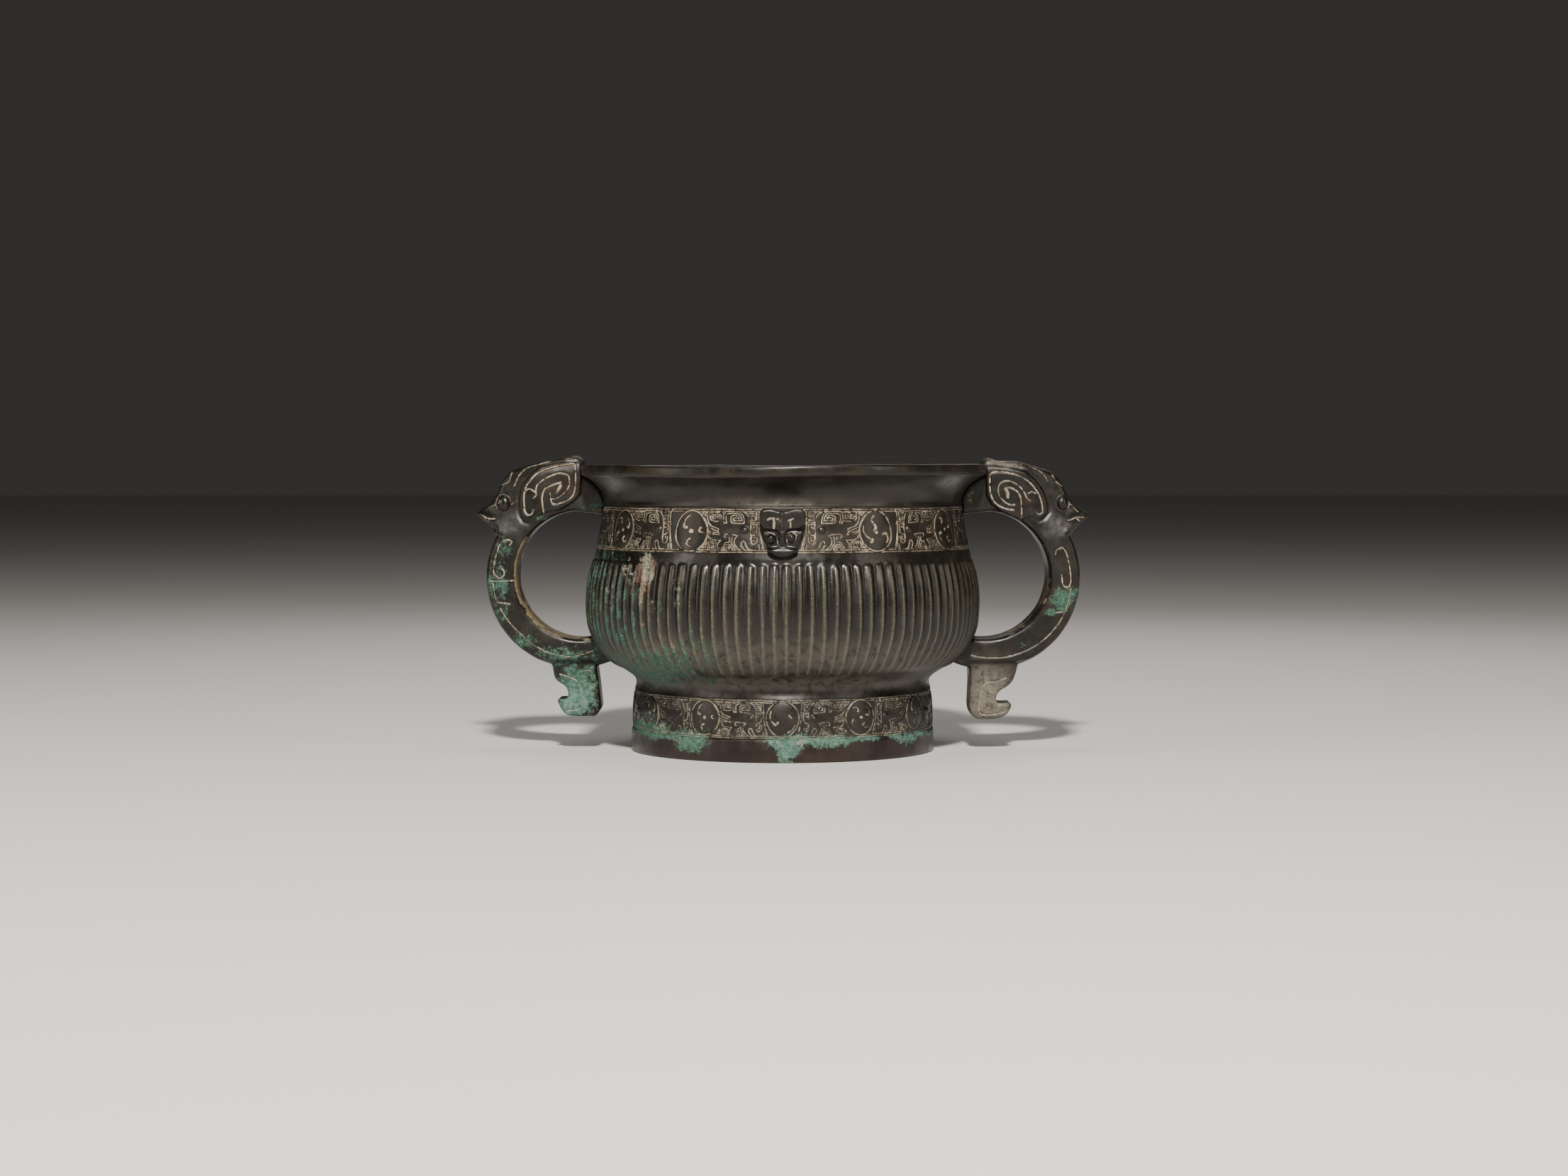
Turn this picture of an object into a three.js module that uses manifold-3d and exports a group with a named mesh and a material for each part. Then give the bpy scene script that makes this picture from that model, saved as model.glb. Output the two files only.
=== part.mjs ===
// Bronze gui: a round, ribbed food vessel on a ring foot, with two loop
// handles that end above in crested bird heads and below in hooked pendants.
// Millimetres, +Z up. The origin is the middle of the foot ring's underside.
// X runs through the two handles, and the front, with its bovine mask,
// faces -Y. Vessel, foot, handles and masks are one casting, so one solid.

import * as THREE from 'three';
import { mergeVertices } from 'three/addons/utils/BufferGeometryUtils.js';
import Module from 'manifold-3d';

const wasm = await Module();
wasm.setup();

// ---- driving dimensions -----------------------------------------------------
const WALL = 3.5;                 // thickness of the cast wall
const RIB_COUNT = 104;            // upright ribs round the belly
const RIB_DEPTH = 1.8;            // crest to gap
const RIB_TOP = 98.0, RIB_BOTTOM = 43.5;
const N_PLAIN = 52;               // facets round the plain bands
const N_INNER = 40;               // facets round the inside

const NECK_BAND = { lo: 102.2, hi: 124.2, r: 93.4 };
const FOOT_BAND = { lo: 12.7, hi: 31.1, r: 76.1 };
const ROUNDEL = { neck: [8.9, 9.7], foot: [7.8, 8.0], proud: 0.7, step: 30 };

const LOOP = { x: 103.6, z: 88.0, outer: 46.4, innerX: 102.6, innerZ: 89.2, inner: 32.5, width: 29 };
const HEAD = { rear: 101.0, tip: 155.0, top: 149.4, width: 26, beakWidth: 15 };
const PENDANT = { width: 22, bottom: 15.2 };
const EYE = { x: 143.0, z: 125.4, r: 3.7 };

// ---- helpers ----------------------------------------------------------------
function solid(geometry) {
  const g = geometry.clone();
  g.deleteAttribute('normal');
  g.deleteAttribute('uv');
  const m = mergeVertices(g, 1e-4);
  return new wasm.Manifold(new wasm.Mesh({
    numProp: 3,
    vertProperties: new Float32Array(m.attributes.position.array),
    triVerts: new Uint32Array(m.index.array),
  }));
}

// A turned body whose rings may each have their own number of facets and
// their own radius for each facet. A ring with no facets is a point on the axis.
function turned(rings) {
  const pos = [], start = [], tris = [];
  for (const ring of rings) {
    start.push(pos.length / 3);
    if (!ring.n) { pos.push(0, 0, ring.z); continue; }
    for (let k = 0; k < ring.n; k++) {
      const a = (2 * Math.PI * k) / ring.n;
      const r = typeof ring.r === 'function' ? ring.r(k) : ring.r;
      pos.push(r * Math.cos(a), r * Math.sin(a), ring.z);
    }
  }
  for (let s = 0; s + 1 < rings.length; s++) {
    const na = rings[s].n || 0, nb = rings[s + 1].n || 0;
    const A = (i) => start[s] + (na ? i % na : 0);
    const B = (j) => start[s + 1] + (nb ? j % nb : 0);
    let i = 0, j = 0;
    while (i < na || j < nb) {
      const nextA = na ? (i + 1) / na : Infinity, nextB = nb ? (j + 1) / nb : Infinity;
      if (i < na && (j >= nb || nextA <= nextB)) { tris.push(A(i), A(i + 1), B(j)); i++; }
      else { tris.push(A(i), B(j + 1), B(j)); j++; }
    }
  }
  return new wasm.Manifold(new wasm.Mesh({
    numProp: 3, vertProperties: new Float32Array(pos), triVerts: new Uint32Array(tris),
  }));
}

// An outline in the XZ plane, made thick in Y and centred on it. The taper
// gives the share of the width that is left at each x.
function slab(shape, width, bevel, segments, taper = () => 1) {
  const g = new THREE.ExtrudeGeometry(shape, {
    depth: width - 2 * bevel, bevelEnabled: bevel > 0, bevelSegments: 1,
    bevelThickness: bevel, bevelSize: bevel * 0.7, bevelOffset: -bevel * 0.7, curveSegments: segments,
  });
  g.translate(0, 0, -(width - 2 * bevel) / 2);
  g.rotateX(Math.PI / 2);
  const p = g.attributes.position;
  for (let i = 0; i < p.count; i++) p.setY(i, p.getY(i) * taper(p.getX(i)));
  return solid(g);
}

// ---- vessel: walls, ribs, ring foot -----------------------------------------
const ribRadius = (crest, share) => (k) => crest - (k % 2 ? RIB_DEPTH * share : 0);
const ribRow = (z, crest, share) => ({ n: 2 * RIB_COUNT, z, r: ribRadius(crest, share) });
const plain = (z, r, n = N_PLAIN) => ({ n, z, r });

function vessel() {
  return turned([
    // underside of the bowl, and the foot's inner wall
    { z: 34.0 }, plain(34.0, 40, 20), plain(34.8, 66, N_INNER), plain(33.0, 70.2, N_INNER),
    plain(12.5, 73.0, N_INNER), plain(0, 73.4, N_INNER),
    // foot ring outside: plain base, relief band, concave joint with the belly
    plain(0, 77.2), plain(11.9, 77.0), plain(12.7, 76.5), plain(22.0, 76.2), plain(31.1, 75.4),
    plain(35.8, 74.7), plain(39.0, 77.4), plain(41.6, 81.6),
    // ribbed belly
    ribRow(RIB_BOTTOM, 86.4, 0.15), ribRow(48.6, 92.0, 0.8), ribRow(56.6, 97.1, 1), ribRow(67.0, 100.1, 1),
    ribRow(82.0, 100.3, 1), ribRow(95.0, 97.4, 1), ribRow(RIB_TOP, 96.2, 0.2),
    // plain fillet, relief band, hollow neck, flared rim with an upright lip
    plain(101.6, 95.4), plain(109.0, 93.7), plain(124.2, 91.8), plain(126.0, 91.3),
    plain(131.0, 92.6), plain(135.6, 96.5), plain(139.0, 102.2), plain(139.8, 104.0),
    plain(144.7, 104.0),
    // mouth and inside of the bowl
    plain(144.7, 100.6, N_INNER), plain(139.4, 98.4, N_INNER), plain(134.8, 92.2, N_INNER),
    plain(130.0, 88.7, N_INNER), plain(124.5, 87.9, N_INNER), plain(108.0, 90.0, N_INNER),
    plain(84.0, 95.0, N_INNER), plain(70.0, 94.9, N_INNER),
    plain(57.5, 91.6, N_INNER), plain(49.5, 86.2, N_INNER), plain(43.0, 76.0, N_INNER),
    plain(39.0, 62.0, N_INNER), plain(38.0, 36, 20), { z: 37.6 },
  ]);
}

// Everything inside the middle of the wall: the roots of the handles and of
// the masks end on it, so that nothing shows inside the bowl or the foot.
function heart() {
  const half = WALL / 2;
  return turned([
    { z: -5 }, plain(-5, 75.3, N_INNER), plain(30, 73.6, N_INNER), plain(37.4, 72.8, N_INNER),
    plain(43.5, 81.5, N_INNER), plain(49, 89.0, N_INNER), plain(57, 94.0, N_INNER),
    plain(70, 98.5 - half, N_INNER), plain(84, 98.6 - half, N_INNER), plain(98, 95.8 - half, N_INNER),
    plain(112, 92.9 - half, N_INNER), plain(125, 91.3 - half, N_INNER), plain(130, 92.2 - half, N_INNER),
    plain(135, 96.3 - half, N_INNER), plain(139.4, 101.0, N_INNER), plain(155, 101.0, N_INNER), { z: 155 },
  ]);
}

// ---- handle at +X: loop, bird head, pendant ---------------------------------
function loop() {
  const s = new THREE.Shape();
  s.absarc(LOOP.x, LOOP.z, LOOP.outer, 0, 2 * Math.PI, false);
  const gap = new THREE.Path();
  gap.absarc(LOOP.innerX, LOOP.innerZ, LOOP.inner, 0, 2 * Math.PI, true);
  s.holes.push(gap);
  return slab(s, LOOP.width, 3, 14);
}

function head() {
  const { rear, tip, top, width, beakWidth } = HEAD;
  const s = new THREE.Shape();
  s.moveTo(88, 138);
  s.lineTo(rear, 139);
  s.lineTo(rear, top - 2.8);
  s.quadraticCurveTo(rear + 1.5, top, rear + 5, top);                 // crest
  s.bezierCurveTo(rear + 16, top - 1.4, rear + 38, top - 2, rear + 42.5, top - 14); // brow
  s.bezierCurveTo(rear + 46, top - 21, rear + 50, top - 25, tip, top - 29);         // beak
  s.quadraticCurveTo(tip - 3, top - 33.5, tip - 7.4, top - 35);
  s.lineTo(146.8, 109.5);                                            // chin
  s.absarc(LOOP.innerX, LOOP.innerZ, LOOP.inner + 4, Math.PI * 0.14, Math.PI * 0.62, false);
  return slab(s, width, 2.5, 5, (x) => 1 - (1 - beakWidth / width) * Math.max(0, Math.min(1, (x - 118) / (tip - 118))));
}

function pendant(bottom) {
  const s = new THREE.Shape();
  s.moveTo(94.6, 50);
  s.lineTo(119, 44);
  s.quadraticCurveTo(118.5, 34.5, 111.5, 31.5);
  s.quadraticCurveTo(109, 28, 109.8, bottom + 8.4);                   // back of the hook
  s.lineTo(116.4, bottom + 8);                                        // its point
  s.quadraticCurveTo(115.5, bottom + 1.5, 109, bottom);
  s.lineTo(98, bottom);
  s.quadraticCurveTo(94.2, bottom + 2, 94.2, bottom + 7);
  return slab(s, PENDANT.width, 2.2, 4);
}

function eyes() {
  const half = (HEAD.width / 2) * (1 - (1 - HEAD.beakWidth / HEAD.width) * (EYE.x - 118) / (HEAD.tip - 118));
  return [-1, 1].map((side) => {
    const g = new THREE.SphereGeometry(EYE.r, 8, 6);
    g.scale(0.85, 0.62, 1);
    g.translate(EYE.x, side * (half - 0.4), EYE.z);
    return solid(g);
  });
}

function handle(side) {
  let h = loop().add(head()).add(pendant(PENDANT.bottom - side * 0.7));
  for (const e of eyes()) h = h.add(e);
  h = h.subtract(heart());
  return side > 0 ? h : h.rotate([0, 0, 180]);
}

// ---- bovine mask on the neck, front and back --------------------------------
function mask(side) {
  const face = -97.5;                       // front plane of the mask, outside the wall
  const block = (shape, proud, bevel) => {
    const g = new THREE.ExtrudeGeometry(shape, {
      depth: 12 - bevel, bevelEnabled: true, bevelSegments: 1, bevelThickness: bevel,
      bevelSize: bevel * 0.8, bevelOffset: -bevel * 0.8, curveSegments: 3,
    });
    g.rotateX(Math.PI / 2);                 // outline now in XZ, thick towards -Y
    g.translate(0, face - proud + 12, 0);
    return solid(g);
  };
  const horn = (dir) => {
    const s = new THREE.Shape();
    s.moveTo(0.2 * dir, 114);
    s.lineTo(0.2 * dir, 121.4);
    s.quadraticCurveTo(3.5 * dir, 124.4, 7 * dir, 124.2);
    s.quadraticCurveTo(11.6 * dir, 123.2, 11.2 * dir, 118.8);
    s.quadraticCurveTo(10.8 * dir, 114.4, 8.4 * dir, 113.8);
    return s;
  };
  const cheeks = new THREE.Shape();
  cheeks.moveTo(-9.2, 114.6);
  cheeks.lineTo(9.2, 114.6);
  cheeks.quadraticCurveTo(8.4, 106, 7.2, 102.8);
  cheeks.quadraticCurveTo(3, 100.2, 0, 100);
  cheeks.quadraticCurveTo(-3, 100.2, -7.2, 102.8);
  cheeks.quadraticCurveTo(-8.4, 106, -9.2, 114.6);
  const snout = new THREE.Shape();
  snout.moveTo(-2.6, 113);
  snout.lineTo(2.6, 113);
  snout.lineTo(4.6, 101.6);
  snout.quadraticCurveTo(0, 98.8, -4.6, 101.6);
  let m = block(horn(1), 3.2, 1.6).add(block(horn(-1), 3.2, 1.6)).add(block(cheeks, 1.2, 1.2)).add(block(snout, 3.0, 1.2));
  for (const x of [-5.6, 5.6]) {
    const g = new THREE.SphereGeometry(2.3, 6, 4);
    g.translate(x, face - 1.0, 109.6);
    m = m.add(solid(g));
  }
  m = m.subtract(heart());
  return side > 0 ? m : m.rotate([0, 0, 180]);
}

// ---- roundels of the two relief bands ---------------------------------------
function roundel(radius, z, [across, up], degrees, depth) {
  const p = ROUNDEL.proud;
  const g = new THREE.LatheGeometry([
    new THREE.Vector2(0, -depth), new THREE.Vector2(1, -depth), new THREE.Vector2(1, p * 0.4),
    new THREE.Vector2(0, p),
  ], 10);
  g.scale(across, 1, up);                   // disc in XZ, its axis along Y
  g.rotateX(Math.PI);                       // its dome faces -Y
  g.translate(0, -radius, z);
  g.rotateZ((degrees * Math.PI) / 180);
  return solid(g);
}

function build() {
  let body = vessel();
  const neckZ = (NECK_BAND.lo + NECK_BAND.hi) / 2, footZ = (FOOT_BAND.lo + FOOT_BAND.hi) / 2;
  for (let a = 0; a < 360; a += ROUNDEL.step) {
    if (a % 90) body = body.add(roundel(NECK_BAND.r, neckZ, ROUNDEL.neck, a, 1.6));
    body = body.add(roundel(FOOT_BAND.r + 0.3, footZ, ROUNDEL.foot, a, 1.6));
  }
  for (const side of [1, -1]) body = body.add(handle(side)).add(mask(side));

  const out = body.getMesh();
  const g = new THREE.BufferGeometry();
  g.setAttribute('position', new THREE.BufferAttribute(new Float32Array(out.vertProperties), 3));
  g.setIndex(Array.from(out.triVerts));
  g.computeVertexNormals();
  return g;
}

const bronze = new THREE.MeshStandardMaterial({ color: 0x3b352c, roughness: 0.55, metalness: 0.7 });
const gui = new THREE.Mesh(build(), bronze);
gui.name = 'gui_vessel';

const group = new THREE.Group();
group.add(gui);
export default group;
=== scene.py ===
"""Looks of a ribbed bronze gui: patina, relief bands, ribs, carved handles.

All shapes below are worked out in millimetres and turned into metres when a
mesh is made. The vessel's axis is Z, its front faces -Y, its handles lie on X.
"""

import math

import bmesh
import bpy
import numpy as np
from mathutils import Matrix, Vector
from mathutils.geometry import tessellate_polygon


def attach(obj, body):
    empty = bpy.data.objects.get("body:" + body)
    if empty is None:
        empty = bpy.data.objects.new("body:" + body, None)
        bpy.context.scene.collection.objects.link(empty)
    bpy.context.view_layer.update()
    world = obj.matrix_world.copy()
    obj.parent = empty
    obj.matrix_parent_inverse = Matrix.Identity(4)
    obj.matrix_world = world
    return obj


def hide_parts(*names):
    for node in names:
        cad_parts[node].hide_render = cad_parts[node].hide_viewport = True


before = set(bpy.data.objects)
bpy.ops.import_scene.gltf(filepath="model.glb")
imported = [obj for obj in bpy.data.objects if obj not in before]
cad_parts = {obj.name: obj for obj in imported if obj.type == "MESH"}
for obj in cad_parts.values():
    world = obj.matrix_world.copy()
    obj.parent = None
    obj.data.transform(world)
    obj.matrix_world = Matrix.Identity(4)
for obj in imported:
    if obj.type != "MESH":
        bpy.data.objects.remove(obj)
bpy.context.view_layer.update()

MM = 0.001
NODE = "gui_vessel"

# ------------------------------------------------------------------ camera
# Rim height, about a metre and a half away, looking slightly down.
FOCAL, DIST, EYE_Z, PX0, PY0 = 4084.0, 1477.0, 142.9, 1104.0, 661.0
cam_data = bpy.data.cameras.new("camera")
cam_data.sensor_width = 36.0
cam_data.sensor_fit = "HORIZONTAL"
cam_data.lens = 36.0 * FOCAL / 2212.0
cam_data.clip_start = 0.05
cam_data.clip_end = 60.0
cam = bpy.data.objects.new("camera", cam_data)
cam.location = (0.0007, -DIST * MM, EYE_Z * MM)
cam.rotation_euler = (math.radians(90.0 - 2.36), 0.0, 0.0)
bpy.context.scene.collection.objects.link(cam)
bpy.context.scene.camera = cam


# ------------------------------------------------------------------ numbers
def smooth(lo, hi, v):
    t = np.clip((np.asarray(v, float) - lo) / (hi - lo), 0.0, 1.0)
    return t * t * (3.0 - 2.0 * t)


def _hash(ix, iy, iz, seed):
    with np.errstate(over="ignore"):
        h = (ix.astype(np.uint32) * np.uint32(0x8DA6B343)) ^ (iy.astype(np.uint32) * np.uint32(0xD8163841)) \
            ^ (iz.astype(np.uint32) * np.uint32(0xCB1AB31F)) ^ np.uint32((seed * 0x9E3779B1) & 0xFFFFFFFF)
        h ^= h >> np.uint32(15)
        h *= np.uint32(0x2C1B3C6D)
        h ^= h >> np.uint32(12)
        h *= np.uint32(0x297A2D39)
        h ^= h >> np.uint32(15)
    return h.astype(np.float64) / 4294967295.0


def noise(p, size, seed=0):
    """Smooth value noise from -1 to 1; size is the width of one cell in mm."""
    q = np.asarray(p, float) / size + 1000.0
    i = np.floor(q).astype(np.int64)
    f = q - i
    f = f * f * f * (f * (f * 6 - 15) + 10)
    out = 0.0
    for dx in (0, 1):
        wx = f[:, 0] if dx else 1 - f[:, 0]
        for dy in (0, 1):
            wy = f[:, 1] if dy else 1 - f[:, 1]
            for dz in (0, 1):
                wz = f[:, 2] if dz else 1 - f[:, 2]
                out = out + wx * wy * wz * _hash(i[:, 0] + dx, i[:, 1] + dy, i[:, 2] + dz, seed)
    return out * 2.0 - 1.0


def fbm(p, size, octaves=3, seed=0):
    total, amp, norm = 0.0, 1.0, 0.0
    for o in range(octaves):
        total = total + amp * noise(p, size / 2 ** o, seed + 17 * o)
        norm += amp
        amp *= 0.5
    return total / norm


def to_view(x, y, z):
    """Where a point of the vessel falls in the 2212 x 1659 view."""
    d = DIST + y
    return PX0 + FOCAL * x / d, PY0 + FOCAL * (EYE_Z - z) / d


def on_band(px, py, radius):
    """Angle (degrees, 0 at the front, + to +X) and height of a view point on a round wall."""
    phi = 0.0
    for _ in range(12):
        d = DIST - radius * math.cos(phi)
        s = max(-0.999, min(0.999, (px - PX0) * d / (FOCAL * radius)))
        phi = math.asin(s)
    d = DIST - radius * math.cos(phi)
    return math.degrees(phi), EYE_Z - (py - PY0) * d / FOCAL


def on_plane(px, py, y):
    d = DIST + y
    return (px - PX0) * d / FOCAL, EYE_Z - (py - PY0) * d / FOCAL


def curve_through(points, per=8, closed=False):
    """Centripetal-like spline through 2-D points."""
    p = np.asarray(points, float)
    n = len(p)
    if closed:
        ext = np.vstack([p[-1], p, p[0], p[1]])
        spans = n
    else:
        ext = np.vstack([2 * p[0] - p[1], p, 2 * p[-1] - p[-2]])
        spans = n - 1
    out = []
    t = np.linspace(0, 1, per, endpoint=False)[:, None]
    for k in range(spans):
        a, b, c, d = ext[k], ext[k + 1], ext[k + 2], ext[k + 3]
        out.append(0.5 * (2 * b + (c - a) * t + (2 * a - 5 * b + 4 * c - d) * t ** 2 + (3 * b - a - 3 * c + d) * t ** 3))
    out = np.vstack(out)
    return out if closed else np.vstack([out, p[-1]])


# ------------------------------------------------------------------ profile
Z_FOOT_LO, Z_FOOT_HI = 11.5, 31.3
Z_NECK_LO, Z_NECK_HI = 102.2, 124.7

_belly = curve_through([
    (31.3, 75.5), (33.4, 74.9), (35.8, 74.8), (37.4, 75.6), (39.2, 77.6), (41.6, 81.4), (44.0, 86.3), (46.8, 90.0),
    (50.0, 92.9), (54.0, 95.6), (58.0, 97.7), (62.0, 99.2), (67.0, 100.1), (74.0, 100.5), (81.5, 100.25),
    (87.0, 99.5), (91.5, 98.5), (95.0, 97.4), (98.0, 96.4), (102.2, 95.3)], 8)
_neck = curve_through([
    (102.2, 95.0), (105.0, 94.5), (109.0, 93.7), (113.0, 92.9), (117.0, 92.4), (121.0, 92.05), (124.2, 91.9),
    (126.2, 91.4), (128.8, 91.8), (131.4, 92.9), (133.8, 94.7), (136.0, 97.2), (138.0, 100.4), (139.1, 102.6)], 8)


def r_belly(z):
    return np.interp(z, _belly[:, 0], _belly[:, 1])


def r_neck(z):
    return np.interp(z, _neck[:, 0], _neck[:, 1])


def r_foot(z):
    return np.interp(z, [0.0, 10.9, 11.5, 22.0, 31.3], [77.25, 77.0, 76.55, 76.2, 75.45])


def r_outer(z):
    z = np.asarray(z, float)
    return np.where(z < Z_FOOT_HI, r_foot(z), np.where(z < Z_NECK_LO, r_belly(z), r_neck(z)))


def cast_skin(p):
    """Small unevenness of the casting, in mm along the wall's normal."""
    return 0.16 * fbm(p, 34.0, 2, 5) + 0.05 * fbm(p, 7.0, 2, 9) + 0.018 * noise(p, 1.6, 3)


# ------------------------------------------------------------------ patina
# Patches in view coordinates: kind, centre x, y, half sizes, strength.
PATCHES = [
    # green over the left ribs, the lower left belly and the left shoulder
    ("green", 838, 850, 40, 130, 0.64), ("green", 880, 908, 62, 62, 0.66), ("green", 930, 938, 92, 32, 0.90),
    ("green", 985, 915, 56, 46, 0.62), ("green", 915, 800, 30, 34, 0.50), ("green", 932, 862, 14, 30, 0.58), ("green", 868, 860, 40, 90, 0.56),
    ("green", 866, 800, 26, 40, 0.50), ("green", 1012, 945, 40, 14, 0.52), ("green", 1000, 962, 44, 9, 0.62),
    ("green", 930, 965, 60, 9, 0.52), ("green", 1170, 822, 7, 24, 0.48), ("green", 1205, 850, 5, 30, 0.40),
    ("green", 1003, 830, 6, 36, 0.36), ("green", 838, 780, 14, 20, 0.5), ("green", 845, 735, 10, 30, 0.5),
    ("green", 955, 860, 16, 60, 0.40), ("green", 1050, 905, 40, 40, 0.30), ("green", 1340, 900, 14, 50, 0.34),
    # crust on the ribs near the left shoulder
    ("crust", 911, 804, 17, 30, 0.80), ("crust", 891, 818, 7, 34, 0.60), ("rust", 905, 812, 13, 28, 0.78), ("rust", 915, 826, 8, 20, 0.66), ("rust", 924, 800, 6, 16, 0.62),
    ("green", 905, 846, 20, 26, 0.62), ("tan", 908, 850, 20, 26, 0.60), ("crust", 905, 840, 16, 24, 0.52), ("crust", 922, 850, 8, 24, 0.50), ("crust", 956, 830, 8, 60, 0.50), ("crust", 884, 800, 8, 26, 0.56), ("crust", 860, 840, 14, 60, 0.44), ("tan", 945, 922, 72, 34, 0.60), ("tan", 985, 905, 60, 36, 0.50),
    ("tan", 915, 880, 56, 40, 0.44), ("tan", 1030, 945, 60, 16, 0.46), ("tan", 860, 840, 34, 70, 0.34), ("dust", 935, 930, 80, 34, 0.5),
    # painted reflection of the pale floor on the lower belly and above the foot, laid on as grey-brown dust; pale dust
    # and a chip above the mask
    ("dust", 1104, 930, 250, 32, 0.40), ("dust", 1104, 966, 200, 14, 0.55), ("dust", 1100, 712, 60, 7, 0.30), ("dust", 1099, 713, 6, 5, 0.9),
    # foot: green hanging from the relief band
    ("green", 922, 1030, 30, 16, 0.95), ("green", 905, 1026, 24, 12, 0.9), ("green", 978, 1050, 26, 17, 1.0),
    ("green", 950, 1036, 30, 9, 0.9), ("green", 1112, 1046, 44, 12, 1.0), ("green", 1112, 1060, 24, 14, 0.95),
    ("green", 1110, 1076, 16, 14, 0.9), ("green", 1152, 1048, 30, 11, 0.95), ("green", 1180, 1048, 24, 13, 1.0),
    ("green", 1215, 1044, 30, 7, 0.9), ("green", 1275, 1042, 28, 9, 0.95), ("green", 1300, 1036, 20, 7, 0.8),
    ("green", 1320, 1030, 16, 6, 0.7), ("green", 1135, 1036, 20, 7, 0.62), ("green", 885, 1016, 12, 20, 0.8),
    ("green", 920, 1012, 26, 12, 0.5), ("green", 1000, 1030, 30, 8, 0.42), ("green", 1010, 1012, 60, 26, 0.30),
    ("pale", 1110, 1056, 60, 26, 0.55), ("pale", 1190, 1046, 60, 14, 0.55), ("pale", 1280, 1040, 50, 12, 0.5), ("pale", 960, 1046, 60, 18, 0.35),
    ("crust", 1128, 1050, 12, 8, 0.62), ("crust", 1098, 1044, 12, 5, 0.55), ("tan", 1112, 1058, 26, 16, 0.62),
    ("tan", 1160, 1046, 44, 9, 0.64), ("tan", 960, 1044, 34, 9, 0.52), ("tan", 1250, 1040, 50, 6, 0.5), ("tan", 1080, 1040, 20, 5, 0.5),
]
HANDLE_PATCHES = {
    "left": [
        ("green", 812, 975, 38, 50, 0.92), ("green", 800, 1000, 28, 16, 0.95), ("green", 830, 950, 16, 20, 0.8), ("pale", 812, 990, 34, 30, 0.75),
        ("green", 700, 825, 24, 28, 0.66), ("green", 702, 870, 20, 40, 0.58), ("green", 735, 905, 34, 18, 0.64),
        ("green", 790, 925, 50, 18, 0.66), ("green", 845, 915, 20, 24, 0.70), ("green", 836, 712, 24, 16, 0.60),
        ("green", 846, 690, 12, 18, 0.45), ("green", 712, 770, 20, 24, 0.52), ("green", 702, 796, 14, 34, 0.54),
        ("green", 765, 730, 20, 8, 0.5), ("green", 700, 740, 14, 10, 0.40), ("green", 715, 690, 14, 12, 0.34),
        ("tan", 790, 910, 40, 10, 0.40), ("tan", 838, 720, 16, 8, 0.5), ("crust", 838, 975, 5, 30, 0.45),
    ],
    "right": [
        ("green", 1499, 846, 22, 22, 0.92), ("green", 1512, 835, 12, 12, 0.75), ("green", 1482, 862, 12, 8, 0.85),
        ("green", 1375, 925, 16, 16, 0.42), ("green", 1366, 690, 12, 18, 0.40), ("green", 1445, 915, 20, 8, 0.40),
        ("green", 1372, 975, 6, 30, 0.36), ("green", 1425, 695, 30, 24, 0.26), ("crust", 1416, 993, 14, 4, 0.9),
        ("crust", 1392, 980, 26, 28, 0.42), ("tan", 1400, 985, 30, 30, 0.42), ("crust", 1410, 652, 18, 4, 0.7),
        ("tan", 1372, 700, 14, 14, 0.45), ("dust", 1394, 982, 34, 44, 1.0), ("dust", 1420, 1004, 20, 14, 0.9), ("dust", 1412, 655, 24, 7, 0.6),
    ],
}


def patina(co, nrm, patches=PATCHES, base=0.0):
    """Share of green, crust, tan and rust at each vertex (mm), front patches plus quiet ones all round."""
    x, y, z = co[:, 0], co[:, 1], co[:, 2]
    px, py = to_view(x, y, z)
    facing = smooth(-0.15, 0.15, -(nrm[:, 1] * (DIST + y) / DIST) + nrm[:, 0] * (-x) / DIST)
    wobble = 7.0 * fbm(co, 9.0, 2, 31)
    wobble2 = 7.0 * fbm(co, 9.0, 2, 47)
    out = {k: np.zeros(len(co)) for k in ("green", "crust", "tan", "rust", "pale", "dust")}
    for kind, cx, cy, rx, ry, s in patches:
        d = ((px + wobble - cx) / rx) ** 2 + ((py + wobble2 - cy) / ry) ** 2
        out[kind] = np.maximum(out[kind], s * np.exp(-d ** 1.4) * facing)
    hidden = 1.0 - facing
    out["green"] = np.maximum(out["green"], hidden * (0.42 + 0.55 * fbm(co, 46.0, 3, 61)) + base)
    out["tan"] = np.maximum(out["tan"], hidden * (0.18 + 0.45 * fbm(co, 38.0, 3, 71)))
    out["rust"] = np.maximum(out["rust"], hidden * (0.10 + 0.4 * fbm(co, 30.0, 2, 81)))
    return out


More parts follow.
